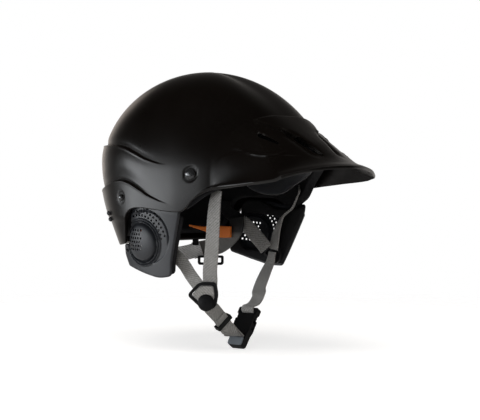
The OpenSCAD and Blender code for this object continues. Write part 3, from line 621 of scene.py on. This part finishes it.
def shell_rows():
    """Rows of the outer skin, dense where it creases."""
    b = mirror_angle(TURN)
    r = rim_z(TURN)
    # how near a step the rows lie close together
    near = 1.4
    lo = np.maximum(curve(LOW, b), r + 4)
    st = np.maximum(curve(STEP, b), lo + 8)
    rows = [r + (lo - near - r) * t for t in np.linspace(0, 1, 7 * FINE)[:-1]]
    rows += [lo + near * t for t in np.linspace(-1, 1, 7)]
    rows += [lo + near + (st - lo - 2 * near) * t for t in np.linspace(0, 1, 8 * FINE)[1:-1]]
    rows += [st + near * t for t in np.linspace(-1, 1, 7)]
    rows += [rise(st + near, t) for t in np.linspace(0, 1, 9 * FINE)[1:]]
    return [skin(TURN, z) for z in rows]


def middle(ring):
    """The middle of a ring, from front to back."""
    return (ring[0][1] + ring[len(ring) // 2][1]) / 2


def build_shell():
    """The moulded shell with its inner skin and rolled edge."""
    outer = shell_rows()
    r, st = rim_z(TURN), curve(STEP, mirror_angle(TURN))
    heights = [r + (st - r) * t for t in np.linspace(0, 1, 4 * FINE)]
    heights += [rise(st, t) for t in np.linspace(0, 1, 7 * FINE)[1:]]
    inner = [inward(TURN, z, SHELL_T) for z in heights]
    # the moulded edge rolls under
    o, i = outer[0], inner[0]
    lip = []
    for t in (0.12, 0.3, 0.5, 0.7, 0.88):
        p = o + (i - o) * t
        p[:, 2] -= 1.0 * math.sqrt(1 - (2 * t - 1) ** 2)
        lip.append(p)
    verts, faces = closed_shell(outer, inner, lip, (0, middle(outer[-1]), CROWN_Z),
                                (0, middle(inner[-1]), CROWN_Z - SHELL_T))
    return finish_mesh("shell_skin", verts, faces, SHELL, "helmet", "outer_shell")


# vents through the shell, each between two places given as an angle and a height, and its width
VENTS = [((34.6, 78), (27.6, 70.3), 4.6), ((11.3, 74.5), (7.0, 59), 6.2)]


def cut_vents(obj):
    """Cuts the vents of both sides through the shell's mesh."""
    bm = bmesh.new()
    for p, q, width in VENTS:
        for flip in (1, -1):
            points = []
            for place, w in ((p, width), (q, width * 0.8)):
                mid = skin(*place)
                axis = outdir(mid)
                for lift in (-7, 5):
                    points += [bm.verts.new((c[0] * flip * MM, c[1] * MM, c[2] * MM))
                               for c in circle(mid + axis * lift, axis, (0, 0, 1), w / 2, 24)]
            made = bmesh.ops.convex_hull(bm, input=points)
            bmesh.ops.delete(bm, geom=[g for g in made["geom_interior"] if isinstance(g, bmesh.types.BMVert)],
                             context="VERTS")
    bm.verts.index_update()
    verts = [tuple(v.co / MM) for v in bm.verts]
    faces = [tuple(v.index for v in f.verts) for f in bm.faces]
    bm.free()
    cut_out(obj, verts, faces)


def circle(mid, axis, side, radius, count):
    """Points round an axis, from the direction square to it and to side."""
    u = unit(np.cross(axis, side))
    v = np.cross(axis, u)
    return [mid + (u * math.cos(g) + v * math.sin(g)) * radius
            for g in np.linspace(0, 2 * math.pi, count, endpoint=False)]


def cut_out(obj, verts, faces):
    """Cuts closed bars, given in millimetres, out of a piece's mesh."""
    mesh, old = mesh_of("bars", verts, faces), obj.data
    fix_normals(mesh)
    cutter = add_object("bars", mesh)
    cut = obj.modifiers.new("cut", "BOOLEAN")
    cut.operation = "DIFFERENCE"
    cut.solver = "MANIFOLD"
    cut.object = cutter
    done = baked(obj)
    obj.modifiers.remove(cut)
    obj.data = done
    done.set_sharp_from_angle(angle=math.radians(40))
    bpy.data.objects.remove(cutter, do_unlink=True)
    for m in (old, mesh):
        bpy.data.meshes.remove(m)


cut_vents(build_shell())

# the edge's radius, and the lobe at the left temple: its angle, half width and drop
LINER_EDGE, LOBE_ANG, LOBE_HALF, LOBE_DROP = 2.2, 301, 7.5, 12


def build_liner():
    """Foam liner with a rounded lower edge."""
    turn = np.arange(0, 360, 2, float)
    low = curve(LINER, mirror_angle(turn)) - LOBE_DROP * np.exp(-((turn - LOBE_ANG) / LOBE_HALF) ** 4)
    wall = low + LINER_EDGE
    out, inn = ([under(turn, rise(wall, t), np.full(len(turn), depth)) for t in np.linspace(0, 1, 40)]
                for depth in (FOAM_OUT, FOAM_IN))
    lip = []
    for k in range(1, 8):
        g = math.pi * k / 8
        mid, half = (FOAM_OUT + FOAM_IN) / 2, (FOAM_IN - FOAM_OUT) / 2
        depth = mid - half * math.copysign(abs(math.cos(g)) ** 0.6, math.cos(g))
        lip.append(under(turn, wall - LINER_EDGE * math.sin(g) ** 0.6, np.full(len(turn), depth)))
    top = middle(out[-1])
    verts, faces = closed_shell(out, inn, lip, (0, top, CROWN_Z - FOAM_OUT), (0, top, CROWN_Z - FOAM_IN))
    return finish_mesh("liner_foam", verts, faces, FOAM, "helmet", "foam_liner")


build_liner()

# half the brow pad's reach, in degrees, its height, and how far it stands off the liner and is crowned
BROW_TURN, BROW_H, BROW_GAP, BROW_CROWN = 96, 30, 1.2, 6.0


def build_brow():
    """Cloth-covered pad round the brow, crowned and pulled in at its sewn edges."""
    rows = []
    for a in np.arange(-BROW_TURN, BROW_TURN + 0.1, 1.0):
        b = abs(a)
        lo = curve(BROW, b)
        hi = lo + BROW_H - 8 * ss(60, 96, b)
        crown = BROW_CROWN * (1 - ss(84, 99, b) * 0.5) * min(1, (BROW_TURN + 0.6 - b) / 3) ** 0.5
        ring = []
        for k in range(20):
            g = 2 * math.pi * k / 20
            # flat against the liner, crowned toward the head
            v = math.sin(g)
            up = (lo + hi) / 2 + (hi - lo) / 2 * math.copysign(abs(math.cos(g)) ** 0.7, math.cos(g))
            ring.append(under(float(a), up, FOAM_IN + BROW_GAP + (crown * v ** 0.75 if v > 0 else 0)))
        rows.append(ring)
    verts, faces = stitch(rows, capped=True)
    return finish_mesh("brow_pad_cloth", verts, faces, BROW_CLOTH, "helmet", "brow_pad")


build_brow()

# -------- ear pads
# each pad is bent to a radius about a middle, leans out, and hangs from a hinge line
EAR_R, EAR_MID, EAR_X, EAR_LEAN, HINGE_Z = 124.0, 12.0, 99.5, 6.5, 4.0
EAR_T, EAR_FOAM_T = 3.2, 6.0
# the left pad's shift forward, tip and turn in degrees, and rise, from a mirrored right pad
LEFT_PAD = (-12.0, 5.0, 3.0, 1.0)
# outlines seen flat, as y and z from the hinge line, with the radius of each corner
BACK_EDGE = {"right": [[30, -70.5], [56, -64.5], [63, -52], [62.5, -41.5], [51, -40.5], [47, -24], [44.5, -7],
                       [40, 1.2]],
             "left": [[30, -66], [53, -61], [58, -50], [57.5, -40.5], [50, -40.5], [47, -24], [44.5, -7],
                      [40, 1.2]]}
COVER_EDGE = {"right": [[24, 2.2], [8, 1.8], [-6, -0.6], [-21.8, -2.4], [-20.6, -9], [-8.2, -57],
                        [-6.8, -72.3], [8, -75]],
              "left": [[24, 2.2], [8, 1.8], [-6, 0.6], [-43, 3], [-43.5, -6], [-22, -57], [-16.5, -69],
                       [3, -70.5]]}
COVER_R = [20, 20, 20, 3, 12, 20, 5, 40, 50, 3, 12, 2, 2, 20, 6, 5]
FOAM_FRONT = {"right": [[42, -11], [34, -8], [24, -7.5], [-2, -9], [-20.8, -9.5], [-20.6, -14], [-8.6, -57],
                        [-7.2, -71], [7, -72.6]],
              "left": [[45, -5], [38, 1], [24, 2], [-2, -6], [-43, 0], [-43, -8], [-23, -56], [-17, -67],
                       [3, -68]]}
FOAM_BACK = {"right": [[29, -67.5], [54, -61.5], [60.5, -51], [60, -43.5], [48, -42.5], [44.5, -24]],
             "left": [[29, -64], [51, -59], [55.5, -49], [55, -43], [47, -42.5], [44.5, -24]]}
FOAM_R = [5, 8, 10, 20, 2, 6, 16, 5, 50, 50, 3, 10, 2, 2, 20]
FOAM_HOLE = [[38, -14], [-14, -14], [-6, -54], [38, -56], [44, -40]]
FOAM_HOLE_R = [6, 12, 12, 10, 8]
# the cover's sunken round field and the deeper groove round its upper front
FIELD_MID, FIELD_R, FIELD_DEPTH, GROOVE_DEPTH = (21.0, -31.0), 28.5, 1.2, 1.5
# the dome on it, the step at the dome's foot, and the two ridges round it as radius and height
DOME_MID, DOME_R, DOME_H, DOME_STEP = (29.0, -37.5), 19.8, 4.8, 1.6
RIDGES, RIDGE_HALF = ((24.6, 1.5), (21.9, 2.0)), 0.8
# the sound holes: rows round a middle as radius and angles, and a grid on the dome
HOLE_ROWS = ((38.2, range(42, 78, 7)), (34, range(14, 111, 8)), (29.4, range(10, 110, 9)))
ROWS_MID, GRID_STEP, GRID_R2 = (31, -38), 4.1, 290
HOLE_R, HOLE_SIDES = {"right": 1.3, "left": 1.15}, 12


def rounded(points, radii, n=6):
    """A flat outline with each corner rounded by its own radius."""
    out = []
    count = len(points)
    for i in range(count):
        a, b, c = (np.array(points[(i + k) % count], float) for k in (-1, 0, 1))
        u, v = unit(a - b), unit(c - b)
        h = math.acos(max(-1, min(1, float(u @ v)))) / 2
        o = b + unit(u + v) * radii[i] / math.sin(h)
        s, e = b + u * radii[i] / math.tan(h) - o, b + v * radii[i] / math.tan(h) - o
        w = math.pi - 2 * h
        for k in range(n + 1):
            out.append(o + (s * math.sin(w * (1 - k / n)) + e * math.sin(w * k / n)) / math.sin(w))
    return out


def ear_point(y, z, depth):
    """From the flat pad to its place on the right; depth goes in from the cover's outer face."""
    r = EAR_R - depth
    x = EAR_R - math.sqrt(max(0.0, r * r - (y - EAR_MID) ** 2))
    lean = math.radians(EAR_LEAN)
    return np.array([x * math.cos(lean) - z * math.sin(lean) - EAR_X, y,
                     x * math.sin(lean) + z * math.cos(lean) + HINGE_Z])


def to_left(p):
    """From the right pad's place to the left pad's."""
    shift, tip, yaw, up = LEFT_PAD
    q = Vector(p) + Vector((EAR_X, -EAR_MID, -HINGE_Z))
    turn = Matrix.Rotation(math.radians(-yaw), 3, "Z") @ Matrix.Rotation(math.radians(tip), 3, "X")
    q = turn @ q + Vector((-EAR_X, EAR_MID + shift, HINGE_Z + up))
    return np.array((-q.x, q.y, q.z))


def flat_pad(outlines, thick, edge, voxel):
    """Points and faces of a flat pad with rounded edges, from outlines in millimetres, about z 0."""
    flat = bpy.data.curves.new("outline", "CURVE")
    flat.dimensions = "2D"
    flat.fill_mode = "BOTH"
    for outline in outlines:
        line = flat.splines.new("POLY")
        line.points.add(len(outline) - 1)
        for point, co in zip(line.points, outline):
            point.co = (co[0], co[1], 0, 1)
        line.use_cyclic_u = True
    flat.extrude = thick / 2 - edge
    flat.bevel_depth = edge
    flat.bevel_resolution = 3
    flat.offset = -edge
    obj = add_object("outline", flat)
    mesh = baked(obj)
    solid = add_object("solid", mesh)
    remesh = solid.modifiers.new("remesh", "REMESH")
    remesh.mode = "VOXEL"
    remesh.voxel_size = voxel
    soften = solid.modifiers.new("soften", "SMOOTH")
    soften.factor = 0.5
    soften.iterations = 6
    done = baked(solid)
    verts = [tuple(v.co) for v in done.vertices]
    faces = [tuple(p.vertices) for p in done.polygons]
    for o in (obj, solid):
        bpy.data.objects.remove(o, do_unlink=True)
    bpy.data.curves.remove(flat)
    for m in (mesh, done):
        bpy.data.meshes.remove(m)
    return verts, faces


def build_ear_foam(side):
    """The ring of foam behind an ear cover."""
    outlines = [rounded(FOAM_FRONT[side] + FOAM_BACK[side], FOAM_R), rounded(FOAM_HOLE, FOAM_HOLE_R)]
    verts, faces = flat_pad(outlines, EAR_FOAM_T, 2.4, 1.1)
    place = [PLACE[side](ear_point(y, z, EAR_T + 0.1 + EAR_FOAM_T / 2 + w)) for y, z, w in verts]
    return finish_mesh("ear_pad_foam_" + side, place, faces, EAR_FOAM, "ear_pad_" + side,
                       "ear_foam_" + side)


PLACE = {"right": np.array, "left": to_left}
for side in PLACE:
    build_ear_foam(side)


def cover_height(y, z):
    """How far the cover's face stands out: sunken field, grooves, two ridges and the dome."""
    from_field = math.hypot(y - FIELD_MID[0], z - FIELD_MID[1])
    r = math.hypot(y - DOME_MID[0], z - DOME_MID[1])
    out = -FIELD_DEPTH * ss(FIELD_R + 0.4, FIELD_R - 0.5, from_field)
    turn = math.degrees(math.atan2(z - FIELD_MID[1], FIELD_MID[0] - y))
    out -= GROOVE_DEPTH * ss(-25, 0, turn) * ss(130, 105, turn) * hump(from_field - FIELD_R + 1.2, 0.9)
    for ring, height in RIDGES:
        out += height * math.exp(-((r - ring) / RIDGE_HALF) ** 4)
    out -= 0.8 * hump(r - 20.2, 0.6)
    if r < DOME_R:
        out += DOME_STEP * ss(DOME_R, 18.6, r) + DOME_H * math.sqrt(max(0.0, 1 - (r / DOME_R) ** 2))
    return out


def cover_holes():
    """Places of the sound holes, as y and z."""
    spots = [(ROWS_MID[0] - r * math.cos(math.radians(a)), ROWS_MID[1] + r * math.sin(math.radians(a)))
             for r, angles in HOLE_ROWS for a in angles]
    for i in range(5):
        for j in range(6):
            y, z = GRID_STEP * i - 3 + 2 * (j % 2), 13.5 - GRID_STEP * j
            if y * y + z * z < GRID_R2:
                spots.append((DOME_MID[0] + y, DOME_MID[1] + z))
    return spots


def hole_bars(radius):
    """Points and faces of the bars that cut the sound holes."""
    bars, walls = [], []
    ring = range(HOLE_SIDES)
    for y, z in cover_holes():
        ends = [ear_point(y, z, d) for d in (-cover_height(y, z) - 3, EAR_T + 9)]
        base = len(bars)
        for end in ends:
            bars += circle(end, unit(ends[1] - ends[0]), (0, 1, 0.3), radius, HOLE_SIDES)
        top = base + HOLE_SIDES
        walls += [(base + k, base + (k + 1) % HOLE_SIDES, top + (k + 1) % HOLE_SIDES, top + k) for k in ring]
        walls += [tuple(base + k for k in reversed(ring)), tuple(top + k for k in ring)]
    return bars, walls


def build_cover(side, tuck):
    """An ear cover, its upper edge tucked in under the shell's rim."""
    edge = rounded(COVER_EDGE[side] + BACK_EDGE[side], COVER_R)
    verts, faces = flat_pad([edge], EAR_T, 1.0, 0.65)
    place = []
    for y, z, w in verts:
        depth = EAR_T / 2 - w - cover_height(y, z)
        if w < 0:
            # the sunken field and dome are a thin wall
            from_field = math.hypot(y - FIELD_MID[0], z - FIELD_MID[1])
            depth -= 2.0 * ss(FIELD_R + 1, FIELD_R - 2, from_field)
        depth += tuck * ss(-5, -1, z - 0.1 * (y - 10))
        place.append(PLACE[side](ear_point(y, z, depth)))
    bars, walls = hole_bars(HOLE_R[side])
    obj = finish_mesh("ear_shell_" + side, place, faces, EARS, "ear_pad_" + side, "ear_cover_" + side)
    cut_out(obj, [PLACE[side](p) for p in bars], walls)


build_cover("right", 0.3)
build_cover("left", 2.2)

# -------- webbing
WEB_W, WEB_T = 16.0, 1.6
FOOT = np.array([-10.8, -32, -146.8])
BUCKLE_LEAN = math.radians(33.5)


def foot_at(x, z):
    """A point of the leaned buckle, x across its thickness and z up from its foot."""
    return FOOT + [x * math.cos(BUCKLE_LEAN) + z * math.sin(BUCKLE_LEAN), 0,
                   z * math.cos(BUCKLE_LEAN) - x * math.sin(BUCKLE_LEAN)]


def strap(name, path, across, node, body="helmet", w=WEB_W, t=WEB_T, n=10, material=WEB, slot="webbing",
          lift=0.0):
    """Flat webbing swept along a path, with soft edges; the material's weave runs in millimetres."""
    centre, wide = spline(path, n), spline(across, n)
    profile, edge = [], t * 0.45
    for sign in (1, -1):
        for k in range(7):
            g = math.pi * k / 6 - sign * math.pi / 2
            profile.append((sign * (w / 2 - edge) + edge * math.cos(g), t / 2 * math.sin(g)))
        profile += [(u, sign * t / 2) for u in np.linspace(sign * (w / 2 - t), -sign * (w / 2 - t), 7)]
    rows, uvs, run = [], [], 0.0
    for i, p in enumerate(centre):
        g = unit(centre[min(i + 1, len(centre) - 1)] - centre[max(i - 1, 0)])
        a = unit(wide[i] - g * (g @ wide[i]))
        b = np.cross(g, a)
        if i:
            run += float(np.linalg.norm(p - centre[i - 1]))
        rows.append([p + b * lift + a * u + b * v for u, v in profile])
        uvs += [(u + w / 2, run) for u, v in profile]
    verts, faces = stitch(rows, capped=True)
    return finish_mesh(name, verts, faces, material, body, node, uvs)


strap("webbing_front_right",
      [[-73.2, -55.6, 22], [-75.3, -54, 12], [-75.6, -52, -8], [-72.6, -47.4, -38], [-69.6, -42.6, -60],
       [-66.8, -40.5, -73], [-66.6, -38, -88]],
      [[-0.35, -1, 0], [-0.1, -1, 0], [0.05, -1, 0], [0.15, -1, 0], [0.25, -1, 0.05], [0.36, -1, 0.05],
       [0.42, -1, 0.1]], "front_strap_right")
strap("webbing_front_left",
      [[67.8, -60, 24], [70, -57.5, 17], [75, -46, 2], [76.2, -32, -10], [76, -24.3, -24], [74.6, -22, -37],
       [73.8, -20.5, -46]],
      [[-0.8, -0.6, 0.3], [-0.8, -0.6, 0.3], [-0.72, -0.65, 0.3], [-0.6, -0.75, 0.3], [-0.45, -0.85, 0.2],
       [-0.35, -0.95, 0.1], [-0.3, -0.95, 0.1]], "front_strap_left")
# the hangers start between the liner and the wearer's head
HANG_RIGHT = [under(111, 4, FOAM_IN + 1.75), under(111, -3, FOAM_IN + 2.1)]
HANG_LEFT = [under(-111, 4, FOAM_IN + 1.95), under(-111, -3, FOAM_IN + 2.3)]
HANGER = dict(w=14, material=WEB_BLACK, slot="black_webbing")
strap("hanger_right", HANG_RIGHT + [[-79, 46.5, -7.5], [-75.6, 38.5, -13.5], [-74.72, 32.9, -18.8]],
      [[0.28, 0.95, -0.1], [0.3, 0.85, -0.4], [0.25, 0.7, -0.65], [0.2, 0.7, -0.65], [0.17, 0.72, -0.62]],
      "nape_hangers", **HANGER)
strap("hanger_left", HANG_LEFT + [[79, 45.5, -6.5], [75.6, 34, -10.5], [74.95, 26.6, -14.9]],
      [[-0.28, 0.95, -0.1], [-0.3, 0.85, -0.4], [-0.3, 0.65, -0.7], [-0.22, 0.62, -0.72],
       [-0.17, 0.66, -0.68]], None, **HANGER)
strap("webbing_rear_right",
      [[-74.66, 32.4, -19.3], [-73.8, 26.5, -25], [-71.8, 8.5, -42], [-70, -7, -55], [-68, -15.5, -67],
       [-65.4, -23, -77], [-62.8, -28.6, -85]],
      [[0.17, 0.72, -0.62], [0.15, 0.75, -0.6], [0.1, 0.7, -0.65], [0.08, 0.75, -0.6], [0.06, 0.8, -0.58],
       [0.06, 0.8, -0.58], [0.06, 0.8, -0.58]], "rear_strap_right")
strap("webbing_rear_left",
      [[75.3, 25.4, -16], [75, 18, -20.2], [72.1, 1, -33], [69.4, -10.5, -42], [68.6, -14, -45.5]],
      [[-0.17, 0.66, -0.68], [-0.2, 0.66, -0.66], [-0.3, 0.62, -0.66], [-0.2, 0.65, -0.7],
       [-0.2, 0.65, -0.7]], "rear_strap_left")

# the lower right strap runs straight through the slider, and its loose end doubles back over it
SLIDE_MID = np.array([-37.3, -34, -117.6])
SLIDE_RUN, SLIDE_WIDE = unit([21, 0.4, -20.6]), [0.7, -0.3, 0.66]
THROUGH = [SLIDE_MID + d * SLIDE_RUN for d in (-9, -6.2, 0, 6.2, 9)]
strap("webbing_chin_right",
      [[-67.6, -37.4, -91], [-65.5, -36.6, -95], [-60.5, -35.4, -99.5], [-52.4, -34.3, -104.7]] + THROUGH
      + [[-22, -33.3, -128.6], [-13.5, -32.4, -131.4], foot_at(-4.4, 11.8), foot_at(0.5, 11.8)],
      [[0.42, -1, 0.1], [0.42, -1, 0.15], [0.5, -0.8, 0.4], [0.65, -0.45, 0.6]] + [SLIDE_WIDE] * 5
      + [[0.35, -0.85, 0.3], [0.1, -1, 0.05], [0, -1, 0], [0, -1, 0]], "chin_strap_right")
strap("webbing_tail", THROUGH + [[-22.5, -33.9, -129.4], [-14.8, -32.6, -132.2]],
      [SLIDE_WIDE] * 5 + [[0.35, -0.85, 0.3], [0.13, -0.98, 0.1]], "strap_tail_right", w=15.4,
      lift=WEB_T + 0.6)
# the lower left strap ends in a fold round the plug's bar, and stretches as the plug slides
chin_left = strap(
      "webbing_chin_left",
      [[74, -19, -49], [72.6, -18.5, -54.5], [68, -19, -62], [58, -21, -71], [47, -24, -80],
       [37.5, -27, -88.5], foot_at(4.8, 68), foot_at(4.6, 61.5), foot_at(2.6, 55), foot_at(-1, 50.7),
       foot_at(-4.3, 48), foot_at(-5, 45.3), foot_at(-4.2, 42.8), foot_at(-1.5, 41.8), foot_at(1, 41.7)],
      [[-0.42, -0.9, 0.1], [-0.42, -0.9, 0.1], [-0.3, -0.95, 0], [-0.15, -1, 0]] + [[0, -1, 0]] * 11,
      "chin_strap_left", None, n=8)
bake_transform(chin_left)
# both right straps are folded and sewn round the divider: the fold's outline and the radius of each corner
GATHER = [[-13.3, 1.55], [-4, 11.1], [9.6, 11.1], [10.8, 2], [9, -8], [1.2, -11.9]]
GATHER_R = [2, 8, 3, 12, 5, 4]
# its rings from back to front: the share of the outline and how far out
GATHER_RINGS = ((0.6, 0.5), (0.97, 0.55), (1.0, 0.9), (1.0, 1.5), (0.97, 1.85), (0.85, 2.1), (0.6, 2.35),
                (0.3, 2.5))
# the divider's place and turn
DIVIDER, DIVIDER_TURN = (-70.2, -36, -88), math.radians(65)


def build_gather():
    """The sewn fold of webbing round the near divider."""
    edge = np.array(rounded(GATHER, GATHER_R))
    mid, c, s = edge.mean(axis=0), math.cos(DIVIDER_TURN), math.sin(DIVIDER_TURN)
    rows, uvs = [], []
    for share, lift in GATHER_RINGS:
        ring = mid + (edge - mid) * share
        rows.append([np.array([c * u - s * lift, -s * u - c * lift, v]) + DIVIDER for u, v in ring])
        uvs += [(u + 20, v) for u, v in ring]
    verts, faces = stitch(rows, capped=True)
    finish_mesh("webbing_gather", verts, faces, WEB, "helmet", "strap_gather_right", uvs)


build_gather()
# the nape band wears the lighter copy of the webbing, painted light
strap("nape_band_web",
      [[-57, 70, -47], [-48, 80, -51], [-35, 90, -54], [-18, 97, -56], [0, 99, -56], [18, 97, -56],
       [35, 90, -54], [48, 80, -51], [57, 70, -47]], [[0, 0, 1]] * 9, "nape_band", w=17, t=1.8,
      material=WEB_PAINTED_LIT)


# -------- the CAD's own rigid pieces
def paint(material, edge, *nodes):
    """Gives CAD nodes a material, and softens their sharp edges by so many millimetres."""
    for node in nodes:
        obj = NODES[node]
        for slot in obj.material_slots:
            slot.link = "OBJECT"
            slot.material = material
        if edge:
            bevel = obj.modifiers.new("edge", "BEVEL")
            bevel.width = edge * MM
            bevel.segments = 2
            bevel.limit_method = "ANGLE"
            bevel.angle_limit = math.radians(40)


paint(RIVET, 0, "temple_rivets", "nape_rivets", "ear_rivet_right", "ear_rivet_left")
paint(STUD, 0, "rear_studs")
paint(BLACK, 0.35, "divider_right", "divider_left", "divider_knob_right", "strap_slider", "buckle_socket",
      "buckle_plug", "buckle_prong_right", "buckle_prong_left", "nape_loops", "nape_tabs")
paint(FACE, 0.3, "buckle_pad")
paint(PALE, 0.5, "nape_plates")
paint(ORANGE, 0.5, "nape_adjuster_right", "nape_adjuster_left")

# -------- studio
world = bpy.data.worlds.new("studio")
bpy.context.scene.world = world
world.use_nodes = True
w = Nodes(tree=world.node_tree)
w.tree.nodes.clear()
room = w.add("ShaderNodeBackground", Color=(1, 0.95, 0.9, 1))
white = w.add("ShaderNodeBackground", Color=(1, 1, 1, 1))
seen = w.add("ShaderNodeLightPath").outputs["Is Camera Ray"]
w.link(w.mix_shaders(seen, room.outputs[0], white.outputs[0]),
       w.add("ShaderNodeOutputWorld").inputs["Surface"])
sky = w.coords("Generated")


def room_level(direction, *span):
    """Strength of the room, by how far the ray points along a direction."""
    dot = w.add("ShaderNodeVectorMath", operation="DOT_PRODUCT")
    dot.inputs[1].default_value = direction
    w.link(sky, dot.inputs[0])
    return w.remap(dot.outputs["Value"], *span, kind="SMOOTHSTEP")


# the room is dark overhead and on the camera's side, and pale low down and behind the object
behind = room_level(tuple(-back), 0.03, 0.9, 0.45, 1.0)
low_down = room_level((0, 0, -1), 0.12, 1.0, -0.5, 0.1)
w.link(w.times(behind, low_down), room.inputs["Strength"])


def lamp(name, azimuth, elevation, size, power, color=(1, 1, 1), distance=1.6, height=None, gloss=False):
    """A soft box; azimuth is turned from the camera's own direction, plus to its left."""
    direction = toward(AZIMUTH - math.radians(azimuth), math.radians(elevation))
    data = bpy.data.lights.new(name, "AREA")
    data.shape = "RECTANGLE"
    data.size, data.size_y = size, height or size
    data.energy = power
    data.color = color
    obj = add_object(name, data)
    obj.location = AIM + direction * distance
    obj.rotation_euler = direction.to_track_quat("Z", "Y").to_euler()
    # a lamp that only fills makes no highlight
    obj.visible_glossy = gloss


lamp("left_low", 79, -3, 0.8, 3.7, (0.94, 0.97, 1.0), distance=1.1, height=0.27, gloss=True)
lamp("left_wide", 64, -3, 1.2, 3.0, (0.94, 0.97, 1.0), distance=1.1, height=0.27, gloss=True)
lamp("left_rear", 150, 14, 0.5, 1.2, (1.0, 0.85, 0.75), height=0.9, gloss=True)
lamp("top_fill", 20, 70, 1.4, 16, (1.0, 0.96, 0.92))
lamp("right_fill", -60, 20, 0.9, 7, (1.0, 0.98, 0.95))
lamp("front_fill", 15, 10, 0.8, 5)

# the floor: its height and half its width in metres, and the points along a side
FLOOR_Z, FLOOR_HALF, FLOOR_POINTS = -0.1495, 4.0, 8
line = [float(v) for v in np.linspace(-FLOOR_HALF, FLOOR_HALF, FLOOR_POINTS)]
floor_mesh = bpy.data.meshes.new("floor")
floor_mesh.from_pydata(
    [(x, y, FLOOR_Z) for y in line for x in line], [],
    [(k, k + 1, k + FLOOR_POINTS + 1, k + FLOOR_POINTS)
     for k in range(FLOOR_POINTS * (FLOOR_POINTS - 1)) if (k + 1) % FLOOR_POINTS])
floor = add_object("floor", floor_mesh)
f = Nodes("floor_paper")
f.tree.nodes.remove(f.bsdf)
diffuse = f.add("ShaderNodeBsdfDiffuse", Color=(0.82, 0.82, 0.82, 1))
glow = f.add("ShaderNodeEmission", Color=(1, 1, 1, 1))
rays = f.add("ShaderNodeLightPath")
shown = f.times(rays.outputs["Is Camera Ray"], 0.66)
mirrored = f.times(rays.outputs["Is Glossy Ray"], 0.15)
f.link(f.plus(shown, mirrored), glow.inputs["Strength"])
paper = f.add("ShaderNodeAddShader")
f.link(diffuse.outputs[0], paper.inputs[0])
f.link(glow.outputs[0], paper.inputs[1])
# the paper fades into the white room away from the object
far = f.add("ShaderNodeVectorMath", operation="LENGTH")
f.link(f.coords(), far.inputs[0])
faded = f.mix_shaders(f.remap(far.outputs["Value"], 0, 1, 0.22, 0.75), paper.outputs[0],
                      f.add("ShaderNodeBsdfTransparent").outputs[0])
f.link(faded, f.tree.nodes["Material Output"].inputs["Surface"])
floor_mesh.materials.append(f.mat)

bpy.context.scene.view_settings.view_transform = "Standard"
